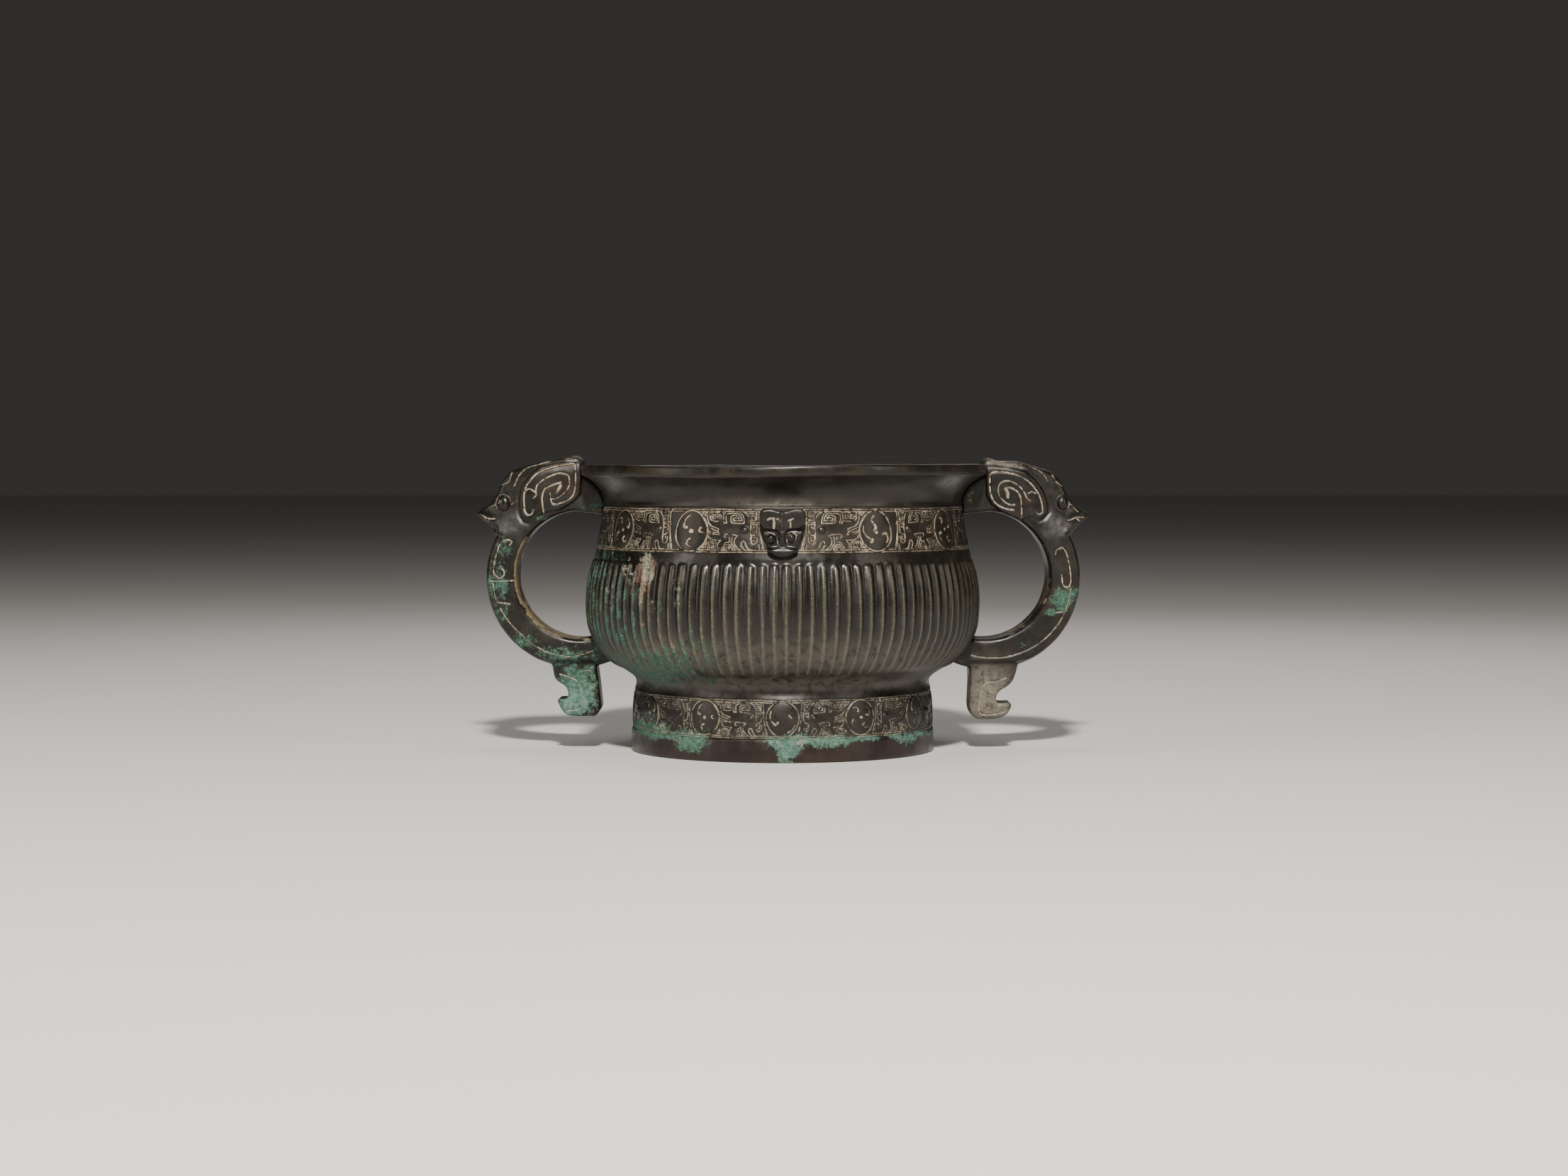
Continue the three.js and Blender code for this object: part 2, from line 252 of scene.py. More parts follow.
# ------------------------------------------------------------------ meshes
def make_mesh(name, verts_mm, faces, attrs=None, sharp=None):
    me = bpy.data.meshes.new(name)
    me.from_pydata([], [], [])
    v = np.asarray(verts_mm, dtype=np.float64) * MM
    loops = np.concatenate([np.asarray(f, dtype=np.int32).ravel() for f in faces])
    counts = np.concatenate([np.full(len(f), np.asarray(f).shape[1], np.int32) for f in faces])
    starts = np.concatenate([[0], np.cumsum(counts)[:-1]]).astype(np.int32)
    me.vertices.add(len(v))
    me.vertices.foreach_set("co", v.astype(np.float32).ravel())
    me.loops.add(len(loops))
    me.loops.foreach_set("vertex_index", loops)
    me.polygons.add(len(counts))
    me.polygons.foreach_set("loop_start", starts)
    me.polygons.foreach_set("loop_total", counts)
    me.update(calc_edges=True)
    me.validate(clean_customdata=False)
    me.polygons.foreach_set("use_smooth", np.ones(len(me.polygons), bool))
    if sharp is not None and len(sharp):
        ev = np.empty(len(me.edges) * 2, np.int32)
        me.edges.foreach_get("vertices", ev)
        ev = ev.reshape(-1, 2)
        flag = np.zeros(len(v), bool)
        flag[sharp] = True
        layer = me.attributes.new("sharp_edge", "BOOLEAN", "EDGE")
        layer.data.foreach_set("value", flag[ev[:, 0]] & flag[ev[:, 1]])
    for key, val in (attrs or {}).items():
        layer = me.attributes.new(key, "FLOAT", "POINT")
        layer.data.foreach_set("value", np.asarray(val, np.float32))
    me.update()
    ob = bpy.data.objects.new(name, me)
    bpy.context.scene.collection.objects.link(ob)
    return ob


def grid_faces(rows, cols, closed, offset=0):
    i = np.arange(rows - 1)[:, None] * cols
    n = cols if closed else cols - 1
    j = np.arange(n)[None, :]
    k = (j + 1) % cols
    a, b = i + j, i + k
    return np.stack([a, b, b + cols, a + cols], -1).reshape(-1, 4) + offset


def grid_normals(co, rows, cols, closed):
    g = co.reshape(rows, cols, 3)
    du = np.empty_like(g)
    if closed:
        du = np.roll(g, -1, 1) - np.roll(g, 1, 1)
    else:
        du = np.gradient(g, axis=1)
    dv = np.gradient(g, axis=0)
    n = np.cross(du, dv)
    n /= np.maximum(np.linalg.norm(n, axis=2, keepdims=True), 1e-9)
    return n.reshape(-1, 3)


def band_piece(name, phi0, phi1, cols, zs, surface, back, back_rows=(), patches=PATCHES, base=0.0):
    """A closed strip of the wall: outside as surface(phi, z) gives it, plain inside.

    phi in degrees from the front (-Y) towards +X; surface returns the radius
    and a dict of vertex values, all as (rows, cols) arrays.
    """
    closed = abs(phi1 - phi0) >= 359.9
    ph = np.linspace(phi0, phi1, cols, endpoint=not closed)
    P, Z = np.meshgrid(np.radians(ph), zs)
    R, attrs = surface(P, Z)
    co = np.stack([R * np.sin(P), -R * np.cos(P), Z], -1).reshape(-1, 3)
    rows = len(zs)
    flatn = np.stack([np.sin(P), -np.cos(P), 0 * Z], -1).reshape(-1, 3)
    co = co + flatn * cast_skin(co)[:, None]
    paint = patina(co, grid_normals(co, rows, cols, closed), patches, base)
    # the plain back follows the wall, from its lowest row up
    zb = [zs[0], *back_rows, zs[-1]]
    m = len(zb)
    p = np.radians(ph)
    backs = [np.stack([back(z) * np.sin(p), -back(z) * np.cos(p), np.full(cols, z)], -1) for z in zb]
    n0 = len(co)
    all_co = np.vstack([co] + backs)
    n = cols if closed else cols - 1
    j = np.arange(n)
    k = (j + 1) % cols
    top, bhi = (rows - 1) * cols, n0 + (m - 1) * cols
    faces = [grid_faces(rows, cols, closed), grid_faces(m, cols, closed, n0)[:, ::-1],
             np.stack([n0 + j, n0 + k, k, j], -1),                            # under
             np.stack([top + j, top + k, bhi + k, bhi + j], -1)]              # over
    extra = {}
    if "crest" in attrs:                          # salts cling to the crests of the ribs
        share = attrs.pop("crest").reshape(-1)
        for key, low in (("green", 0.45), ("tan", 0.35), ("crust", 0.80), ("rust", 0.85)):
            paint[key] = paint[key] * (low + (1 - low) * share)
    for key in paint:
        extra[key] = np.concatenate([paint[key], np.zeros(m * cols)])
    for key, val in attrs.items():
        extra[key] = np.concatenate([np.asarray(val).reshape(-1), np.zeros(m * cols)])
    edge = np.concatenate([np.arange(cols), top + np.arange(cols), n0 + np.arange(m * cols)])
    if not closed:
        col0 = np.arange(rows) * cols
        back0 = n0 + np.arange(m) * cols
        faces += [np.concatenate([col0[::-1], back0])[None, :], np.concatenate([col0 + cols - 1, back0[::-1] + cols - 1])[None, :]]
        edge = np.concatenate([edge, col0, col0 + cols - 1])
    return make_mesh(name, all_co, faces, extra, np.unique(edge))


# ------------------------------------------------------------------ carving
def carve(strokes, A, Z, reach=1.2):
    """Signed distance (mm) to the edge of the nearest stroke over a regular grid."""
    a0, da, z0, dz = A[0], A[1] - A[0], Z[0], Z[1] - Z[0]
    dist = np.full((len(Z), len(A)), reach)
    for pts, w0, w1 in strokes:
        m = len(pts) - 1
        for k in range(m):
            p, q = pts[k], pts[k + 1]
            wa, wb = w0 + (w1 - w0) * k / m, w0 + (w1 - w0) * (k + 1) / m
            pad = reach + max(wa, wb) / 2
            i0 = max(0, int((min(p[0], q[0]) - pad - a0) / da))
            i1 = min(len(A), int((max(p[0], q[0]) + pad - a0) / da) + 2)
            j0 = max(0, int((min(p[1], q[1]) - pad - z0) / dz))
            j1 = min(len(Z), int((max(p[1], q[1]) + pad - z0) / dz) + 2)
            if i0 >= i1 or j0 >= j1:
                continue
            aa, zz = A[None, i0:i1], Z[j0:j1, None]
            vx, vz = q[0] - p[0], q[1] - p[1]
            ll = vx * vx + vz * vz + 1e-9
            t = np.clip(((aa - p[0]) * vx + (zz - p[1]) * vz) / ll, 0, 1)
            d = np.hypot(aa - p[0] - t * vx, zz - p[1] - t * vz) - (wa + (wb - wa) * t) / 2
            view = dist[j0:j1, i0:i1]
            np.minimum(view, d, out=view)
    return dist


def stroke_distance(strokes, px, py, reach=6.0):
    """The same for scattered points, in view pixels."""
    dist = np.full(len(px), reach)
    for pts, w0, w1 in strokes:
        m = len(pts) - 1
        for k in range(m):
            p, q = pts[k], pts[k + 1]
            wa, wb = w0 + (w1 - w0) * k / m, w0 + (w1 - w0) * (k + 1) / m
            pad = reach + max(wa, wb) / 2
            sel = np.nonzero((px > min(p[0], q[0]) - pad) & (px < max(p[0], q[0]) + pad)
                             & (py > min(p[1], q[1]) - pad) & (py < max(p[1], q[1]) + pad))[0]
            if not len(sel):
                continue
            vx, vy = q[0] - p[0], q[1] - p[1]
            ll = vx * vx + vy * vy + 1e-9
            t = np.clip(((px[sel] - p[0]) * vx + (py[sel] - p[1]) * vy) / ll, 0, 1)
            d = np.hypot(px[sel] - p[0] - t * vx, py[sel] - p[1] - t * vy) - (wa + (wb - wa) * t) / 2
            dist[sel] = np.minimum(dist[sel], d)
    return dist


def poly(text):
    return [tuple(float(v) for v in pair.split(",")) for pair in text.split()]


# One 30 degree unit of the relief: a dragon (head towards the mask, body,
# hooked crest and claws) among square spirals. View coordinates on the neck.
DRAGON = [poly(t) for t in (
    # ground between the mask and the head
    "1135,719.5 1137.6,722.5 1138.4,729 1137.4,735 1135.6,740.5",
    "1138.5,738 1137,750 1134,761 1131,770 1130,775.5",
    "1142,735 1141.5,721.5 1150,721",
    "1143.5,724.6 1151.5,723.6",
    "1148.8,727.5 1143.6,728 1143.8,734 1148.8,734 1148.8,730.6 1146.2,730.8",
    "1138.5,736.8 1150,736.8",
    "1141.5,752 1141.2,739.6 1148.6,739 1150,742.5 1147.5,745.2 1145.2,743.6 1145.4,741.8",
    "1141.5,751 1145,754.6 1150,754.6",
    "1148.8,756.5 1149,764.5 1146,767.4 1142.6,766.6 1140.6,763 1140.6,757.5",
    "1143.6,757 1144.4,762.6 1146.4,762",
    "1136,757 1133.5,768 1132.8,775.5",
    "1137.5,768 1136.6,775.5",
    # head and crest
    "1150.4,760 1150.2,746 1150.6,735 1152.4,728.5 1156,723.8 1161,721.2 1188,720.9 1187.6,724.4",
    "1165.6,722.6 1161.6,727 1160.2,733 1160,738.2 1170,738 1177,737.2 1179.4,734 1179.2,729 1176,726.6 1170.6,726.2 1167.4,731.4",
    "1168.6,723.8 1164,729.4 1163.2,734.4 1174,734.2 1176,731.8 1174.8,730 1170,730.2",
    "1169,723.6 1184,724.4 1186.4,727 1186.8,733 1185.4,737.6 1188.2,737.6 1190,734.4 1203,735.4 1207.4,733.4 1209.6,729 1210.4,721.5",
    # ground above the back
    "1190.2,731.6 1190,722.6 1198.2,722.4 1199.2,730.6 1192,731.4",
    "1192.6,729 1194.4,725.2 1196.8,724.8 1196.2,729",
    "1199.6,722.4 1208.4,722.6",
    "1208.4,725.6 1201.8,725 1200.8,730.6 1204.4,731.2 1207.8,727.6 1203.6,727.8",
    # back, tail and the ground between them
    "1214.2,721 1213.4,730 1211.8,737 1207,742.2 1196.4,745.4 1197.6,749 1195.2,754 1201,753.2 1208,752.8 1211,750",
    "1199.2,748.8 1205,746.4 1211.4,743.6",
    "1200.4,751.2 1206,750.4 1211.6,747.2",
    "1213,746 1212.2,752.4 1209.8,758 1205,761.2 1192.8,761.8 1196.6,766.6 1197.4,771.4 1194.8,773.4",
    # ground under the tail
    "1199.6,775 1199.6,764 1210.4,763.6 1210.6,775",
    "1202.6,772.6 1202.6,766 1208,766 1208,772.4 1204.8,772.2 1204.8,768.6",
    "1213,763.4 1213.6,771.6 1218.8,772 1213.8,765.6",
    # jaw, legs and claws
    "1168.4,755 1176,753.8 1186.4,753.2 1187.8,755.6 1185.4,758.4",
    "1168.8,755.4 1172.2,758.6 1173.4,762.6 1172.2,767.6 1168.4,772.2 1163.6,775.6",
    "1176.2,757.2 1177.4,762 1176.2,767.2 1172.4,772.6 1170.8,775.6",
    "1180.6,757.4 1180.2,764.6 1186,764.8 1187.2,769.2 1190.4,773.4",
    "1184.4,774 1184,767.6 1179.8,767.6 1176.4,772 1174.8,775.4",
    "1181.4,770.6 1179,773.6",
    "1186.6,772.2 1188,775.6 1197,775.4",
    # mouth
    "1147.6,775.6 1152.4,774.6 1155.4,769.6 1157.4,764.4 1160,762.4 1162.6,764.2 1163,768.4 1160.2,772.4 1158.4,775.4",
)]
DRAGON_EYE = (1159.4, 747.4)
# short strokes filling the corners next to a roundel at the far end of the unit
CORNERS = [poly(t) for t in (
    "1215.4,722 1221.6,721.8 1215.6,727.4 1216,723.6",
    "1212.4,775.2 1224,775.6",
    "1216.4,769.4 1215.4,766.4",
)]

R_NECK, R_FOOT = 93.2, 76.1


def unit_strokes():
    """The unit in degrees and share of the band's height."""
    out = []
    for pts in DRAGON + CORNERS:
        conv = []
        for x, y in pts:
            a, z = on_band(x, y, R_NECK)
            conv.append((a, (z - 102.2) / 22.0))
        out.append(conv)
    return out


UNIT = unit_strokes()
_e = on_band(*DRAGON_EYE, R_NECK)
UNIT_EYE = (_e[0], (_e[1] - 102.2) / 22.0)

# comma marks of the whorls, in shares of the roundel's half sizes
WHORLS = {
    "a": [([(-0.10, 0.76), (-0.26, 0.58), (-0.16, 0.40), (-0.02, 0.20), (-0.10, 0.02), (0.0, -0.06)], 0.9, 2.2),
          ([(-0.76, 0.26), (-0.78, 0.0), (-0.66, -0.20), (-0.42, -0.38), (-0.28, -0.40), (-0.36, -0.54)], 0.5, 1.7),
          ([(0.44, -0.16), (0.60, -0.12), (0.70, -0.26), (0.70, -0.42), (0.60, -0.58)], 1.7, 0.8)],
    "b": [([(-0.10, 0.78), (-0.36, 0.62), (-0.48, 0.36), (-0.44, 0.20), (-0.30, 0.18)], 0.6, 1.9),
          ([(0.0, 0.0), (0.04, 0.0)], 2.9, 2.7),
          ([(0.60, 0.16), (0.50, 0.10), (0.54, -0.02), (0.74, -0.08)], 1.6, 0.6),
          ([(-0.04, -0.38), (-0.20, -0.50), (-0.16, -0.68), (0.04, -0.78)], 1.6, 0.6)],
    "c": [([(0.0, 0.0), (0.04, 0.0)], 2.4, 2.4),
          ([(0.44, 0.58), (0.62, 0.34), (0.56, 0.12), (0.42, 0.14)], 0.6, 1.7),
          ([(-0.56, 0.52), (-0.30, 0.60), (-0.16, 0.46), (-0.24, 0.34)], 0.6, 1.6),
          ([(-0.46, -0.56), (-0.62, -0.32), (-0.54, -0.12), (-0.42, -0.16)], 0.6, 1.6),
          ([(0.52, -0.54), (0.28, -0.60), (0.14, -0.44), (0.24, -0.34)], 0.6, 1.6)],
    "d": [([(-0.70, 0.44), (-0.76, 0.12), (-0.62, -0.16), (-0.42, -0.30), (-0.28, -0.20)], 0.9, 1.9),
          ([(0.40, 0.20), (0.52, 0.10)], 1.8, 1.6),
          ([(0.78, -0.34), (0.58, -0.62), (0.30, -0.76)], 0.6, 1.6)],
}


# how far the units are drawn together on each side, and their spacing in degrees
SPACING = {True: ({1: 1.0, -1: 0.975}, {1: 29.95, -1: 29.15}), False: ({1: 1.0, -1: 1.0}, {1: 30.0, -1: 30.0})}


def band_strokes(R, lo, hi, k_range, sx, lean):
    """Strokes of the units number k (0 is next to the front) on one side (sx = +1 or -1)."""
    out = []
    h = hi - lo
    fit, step = SPACING[R > 85]
    for k in k_range:
        jit = math.sin(k * 12.9 + sx * 4.1 + R) * 0.25
        for n, pts in enumerate(UNIT):
            w = (0.45 if R > 85 else 0.40) * (1 + 0.12 * math.sin(n * 7.3 + k * 3.1 + sx))
            conv = []
            for a, v in pts:
                arc = math.radians(a * fit[sx] + step[sx] * k) * R
                zz = lo + v * h
                arc += 0.10 * math.sin(zz * 0.9 + k * 2.0) + jit * 0.4
                zz += 0.08 * math.sin(arc * 0.7 + n)
                conv.append((sx * arc + lean, zz))
            out.append((conv, w, w))
    return out


def relief_surface(which, back_side=False):
    if which == "neck":
        R, lo, hi, base_r = R_NECK, 102.2, 124.2, r_neck
        rounds = {28.95: "a", 58.9: "c", -28.2: "b", -57.4: "c"}
        ax, az, dome, line_d = 8.8, 9.75, 0.55, 0.5
    else:
        R, lo, hi, base_r = R_FOOT, 11.4, 31.1, r_foot
        rounds = {0: "d", 30: "c", 60: "b", 90: "c", -30: "b", -60: "c", -90: "c"}
        ax, az, dome, line_d = 7.95, 8.5, 0.45, 0.42

    def surface(P, Z):
        phi = P[0]
        turn = math.pi if back_side else 0.0
        A = (phi - turn) * R
        zs = Z[:, 0]
        strokes = []
        for sx in (1, -1):
            strokes += band_strokes(R, lo, hi, range(3), sx, 0.0)
        # two border lines above and two below, a little uneven
        arcs = np.linspace(A[0] - 1, A[-1] + 1, 120)
        fr = (hi - lo) / 22.0
        for dzb, w in ((0.45, 0.44), (1.50, 0.38)):
            for edge, sgn in ((lo, 1), (hi, -1)):
                line = [(float(a), edge + sgn * (dzb * fr + 0.3) + 0.07 * math.sin(a * 0.31 + edge) + 0.05 * math.sin(a * 1.1))
                        for a in arcs]
                strokes.append((line, w, w))
        centres = []
        for deg, kind in rounds.items():
            ca, cz = math.radians(deg) * R, (lo + hi) / 2 - (0.25 if which == "neck" else -0.3)
            b2 = az
            centres.append((ca, cz, b2, deg))
        # clear the ground inside roundels (and behind the mask on the neck)
        dist = carve(strokes, A, zs)
        AA, ZZ = A[None, :], zs[:, None]
        height = np.zeros_like(dist)
        ring = []
        for ca, cz, b2, deg in centres:
            rho = np.sqrt(((AA - ca) / ax) ** 2 + ((ZZ - cz) / b2) ** 2)
            dist = np.where(rho < 1.07, 1.2, dist)
            d_dome = dome * (2.2 if (deg == 0 and which == "foot") else 1.0)
            height += np.where(rho < 1.0, d_dome * np.sqrt(np.clip(1 - rho ** 2, 0, 1)), 0)
            t = np.linspace(0, 2 * math.pi, 72)
            wob = 0.10 * np.sin(3 * t + deg)
            ring.append(([(ca + (ax + w) * math.cos(u), cz + (b2 + w) * math.sin(u)) for u, w in zip(t, wob)], 0.62, 0.62))
        if which == "neck":
            seen = (np.abs(AA) < 9.6) & (ZZ > 113) | (np.abs(AA) < 6.6)
            dist = np.where(seen, 1.2, dist)
        marks = []
        for deg, kind in rounds.items():
            ca, cz = math.radians(deg) * R, (lo + hi) / 2 - (0.25 if which == "neck" else -0.3)
            wcomma = 0.74 if which == "neck" else 0.62
            for pts, w0, w1 in WHORLS[kind]:
                fine = curve_through(pts, 5) if len(pts) > 2 else pts
                marks.append(([(ca + ax * u, cz + az * v) for u, v in fine], w0 * wcomma, w1 * wcomma))
        dist = np.minimum(dist, carve(ring + marks, A, zs))
        cut = 1.0 - smooth(-0.13, 0.17, dist)
        # dragon eyes stand out as smooth bosses
        for sx in (1, -1):
            for k in range(3):
                ca = sx * math.radians(UNIT_EYE[0] * SPACING[R > 85][0][sx] + SPACING[R > 85][1][sx] * k) * R
                cz = lo + UNIT_EYE[1] * (hi - lo)
                er = 2.15 * (hi - lo) / 22.0
                rho = np.sqrt(((AA - ca) / er) ** 2 + ((ZZ - cz) / (er * 0.92)) ** 2)
                boss = np.where(rho < 1, 1.15 * (hi - lo) / 22.0 * np.clip(1 - rho ** 2, 0, 1) ** 0.8, 0)
                height += boss
                cut = np.where(rho < 1.05, 0.0, cut)
        pts = np.stack([(R * np.sin(P)).ravel(), (-R * np.cos(P)).ravel(), Z.ravel()], -1)
        fill = 0.78 + 0.42 * fbm(pts, 14.0, 3, 101).reshape(P.shape)
        if back_side:
            fill = fill - 0.18
        if which == "foot":
            fill = fill - 0.12
        height = height - line_d * cut
        # the whole band lies a touch below its plain edges
        rim = 1.0 - smooth(0.0, 0.5, np.minimum(ZZ - zs[0], zs[-1] - ZZ))
        height = height - 0.30 * rim
        groove = np.clip(cut * fill, 0, 1)
        land = np.clip(1 - cut, 0, 1)
        return base_r(Z) + height, {"groove": groove, "wear": 0.15 * land}

    return surface


# ------------------------------------------------------------------ ribs
RIBS, RIB_DEPTH = 104, 1.25
_rng = np.random.RandomState(7)
RIB_STEP = 2 * math.pi / RIBS
RIB_CENTRE = (np.arange(RIBS) + 0.344) * RIB_STEP + _rng.uniform(-0.05, 0.05, RIBS) * RIB_STEP
RIB_TOPS = 95.7 + _rng.uniform(-0.35, 0.35, RIBS)
RIB_WIDE = 1.0 + _rng.uniform(-0.13, 0.13, RIBS)


def rib_surface(P, Z):
    ang = np.mod(P, 2 * math.pi)
    k = np.mod(np.round((ang - 0.344 * RIB_STEP) / RIB_STEP).astype(int), RIBS)
    centre = RIB_CENTRE[k]
    off = np.mod(ang - centre + math.pi, 2 * math.pi) - math.pi
    arc = off * 98.0 + 0.16 * np.sin(Z * 0.11 + k * 1.7)
    top = RIB_TOPS[k]
    over = np.maximum(Z - top, 0.0)
    d = np.sqrt(arc ** 2 + over ** 2) / RIB_WIDE[k]
    crest = (0.5 + 0.5 * np.cos(math.pi * np.clip(d / 2.35, 0, 1))) ** 0.85
    # where the ribs run out below, and the plain fillet above them
    below = smooth(41.9, 44.2, Z)
    above = 1.0 - smooth(96.2, 99.8, Z)
    depth = RIB_DEPTH * (0.55 + 0.45 * smooth(43, 58, Z)) * (0.62 + 0.38 * smooth(98.5, 91.0, Z))
    R = r_belly(Z) + below * (depth * (crest - 1.0) * above) + below * (1 - above) * (-0.35)
    # thin line where the ribs stop above the foot
    R = R - 0.35 * np.exp(-((Z - 41.9) / 0.55) ** 2)
    wear = np.clip(1.0 - smooth(0.35, 1.55, d), 0, 1) * below * above
    gap = np.clip(smooth(1.9, 2.9, d), 0, 1) * below * above
    lip = np.exp(-((Z - 97.4) / 0.8) ** 2) * smooth(1.4, 2.6, d)
    # deep marks the valleys between the ribs, where the material paints shade
    return R, {"wear": wear, "groove": 0.16 * lip + 0.04 * gap, "deep": smooth(1.1, 2.3, np.abs(arc)) * below * smooth(97.0, 92.5, Z),
               "crest": np.where(below * above > 0.5, 0.25 + 0.75 * (1.0 - smooth(0.6, 2.1, d)), 1.0)}


# ------------------------------------------------------------------ wall
def wall_piece():
    """Inside, rim, hollow neck, plain foot base and the underside, as one turned shell.

    Its outside is set back where the relief bands and the ribs lie on it.
    """
    back = 2.0
    neck = [(float(r), float(z)) for z, r in zip(np.linspace(Z_NECK_HI, 138.6, 26), r_neck(np.linspace(Z_NECK_HI, 138.6, 26)))]
    prof = []
    prof += [(0.0, 34.0), (20, 34.0), (40, 34.0), (55, 34.3), (66, 34.8), (69.0, 34.4), (70.4, 32.8), (71.2, 29.0)]
    prof += [(72.2, 20.0), (73.0, 12.0), (73.3, 5.0), (73.5, 0.8), (73.9, 0.0), (75.2, 0.0), (76.7, 0.0), (77.2, 0.5)]
    prof += [(77.25, 2.0), (77.2, 4.5), (77.12, 6.8), (77.05, 8.8), (77.0, 10.6), (76.75, 11.2), (76.3, 11.5), (76.6 - back, 11.5)]
    for z in (20.0, 28.0, 33.0, 36.0, 40.0, 44.0, 48.0, 54.0, 60.0, 70.0, 80.0, 90.0, 98.0, 104.0, 112.0, 120.0):
        prof.append((float(r_outer(z)) - back - (1.2 if 42 < z < 99 else 0.0), z))
    prof += [(float(r_neck(Z_NECK_HI)) - back, Z_NECK_HI - 0.05), (float(r_neck(Z_NECK_HI)) - 0.25, Z_NECK_HI)]
    prof += neck[1:]
    prof += [(102.6, 139.0), (103.5, 139.5), (103.9, 140.1), (104.0, 141.0), (104.02, 142.2), (104.0, 143.3), (103.85, 144.1), (103.4, 144.6),
             (102.6, 144.75), (101.7, 144.7), (101.0, 144.4), (100.6, 143.6), (100.2, 142.2), (99.6, 140.6), (98.4, 138.8), (96.6, 136.8),
             (94.6, 135.0), (92.4, 133.2), (90.6, 131.2), (89.2, 129.0), (88.3, 126.5), (88.0, 123.0), (88.5, 117.0), (89.4, 111.0),
             (90.6, 104.0), (92.2, 97.0), (93.8, 90.0), (94.9, 83.0), (95.2, 76.0), (94.8, 69.0), (93.4, 62.0), (90.8, 56.0),
             (87.0, 51.0), (82.0, 46.8), (76.0, 43.4), (69.0, 41.0), (60.0, 39.4), (50.0, 38.5), (38.0, 38.0), (26.0, 37.75),
             (13.0, 37.65), (0.0, 37.6)]
    prof = np.array(prof)
    cols = 280
    rows = len(prof) - 2
    ph = np.linspace(0, 2 * math.pi, cols, endpoint=False)
    R, P = np.meshgrid(prof[1:-1, 0], ph, indexing="ij")
    Zp = np.repeat(prof[1:-1, 1][:, None], cols, 1)
    x, y = R * np.sin(P), -R * np.cos(P)
    co = np.stack([x, y, Zp], -1).reshape(-1, 3)
    nrm = grid_normals(co, rows, cols, True)
    amount = cast_skin(co) * 1.3
    on_out = (np.hypot(co[:, 0], co[:, 1]) > 50) & ~((co[:, 2] < 0.9))
    co = co + nrm * (amount * on_out)[:, None]
    # the lip has sagged a little, most of all left of the front
    deg = np.degrees(np.arctan2(co[:, 0], -co[:, 1]))
    high = smooth(133.0, 141.0, co[:, 2])
    sag = -1.1 * np.exp(-((deg + 18) / 22.0) ** 2) + 0.45 * np.exp(-((deg - 55) / 40.0) ** 2) - 0.35 * np.exp(-((deg - 150) / 30.0) ** 2)
    edge_noise = 0.22 * fbm(co * [1, 1, 0.2], 11.0, 2, 55)
    co[:, 2] += high * (sag + edge_noise)
    dent = 0.9 * np.exp(-((deg + 20) / 16.0) ** 2) * high
    dent = dent + 2.6 * np.exp(-((deg + 90) / 10.0) ** 2) * high
    co[:, 0] *= 1 - dent / 104.0
    co[:, 1] *= 1 - dent / 104.0
    inside = (np.hypot(co[:, 0], co[:, 1]) < r_outer(np.clip(co[:, 2], 0, 139)) - 2.2) & (co[:, 2] > 36.5) | (nrm[:, 2] > 0.2) & (co[:, 2] > 37) & (co[:, 2] < 60)
    under = (co[:, 2] < 36.5) & (np.hypot(co[:, 0], co[:, 1]) < 74.2)
    paint = patina(co, nrm)
    inner = inside | under
    n_in = 0.52 + 0.5 * fbm(co, 30.0, 3, 91)
    paint["green"] = np.where(inner, n_in - 0.20, paint["green"])
    paint["tan"] = np.where(inner, 0.28 + 0.5 * fbm(co, 24.0, 3, 92), paint["tan"])
    paint["rust"] = np.where(inner, 0.16 + 0.5 * fbm(co, 20.0, 2, 93), paint["rust"])
    paint["crust"] = np.where(inner, 0.15 + 0.5 * fbm(co, 18.0, 2, 94), paint["crust"])
    n0 = len(co)
    all_co = np.vstack([co, [[0, 0, prof[0, 1]], [0, 0, prof[-1, 1]]]])
    j = np.arange(cols)
    k = (j + 1) % cols
    faces = [grid_faces(rows, cols, True), np.stack([np.full(cols, n0), k, j], -1),
             np.stack([(rows - 1) * cols + j, (rows - 1) * cols + k, np.full(cols, n0 + 1)], -1)]
    lip = smooth(143.9, 144.5, co[:, 2]) * smooth(0.2, 0.9, nrm[:, 2] + 0.3)
    base_red = smooth(12.2, 11.0, co[:, 2]) * (np.hypot(co[:, 0], co[:, 1]) > 74.5)
    lipband = smooth(138.8, 139.8, co[:, 2]) * (np.hypot(co[:, 0], co[:, 1]) > 101.5)
    attrs = {key: np.concatenate([val, [0, 0]]) for key, val in paint.items()}
    attrs["wear"] = np.concatenate([0.42 * lip, [0, 0]])
    attrs["groove"] = np.zeros(n0 + 2)
    attrs["foot_base"] = np.concatenate([base_red, [0, 0]])
    attrs["lip"] = np.concatenate([lipband, [0, 0]])
    sharp_rows = [i for i in range(rows) if abs(prof[i + 1, 1] - 11.5) < 0.02 or abs(prof[i + 1, 1] - Z_NECK_HI) < 0.06]
    sharp = np.concatenate([i * cols + j for i in sharp_rows])
    return make_mesh("vessel_wall", all_co, faces, attrs, sharp)


# ------------------------------------------------------------------ handles
Y_FACE = -13.5
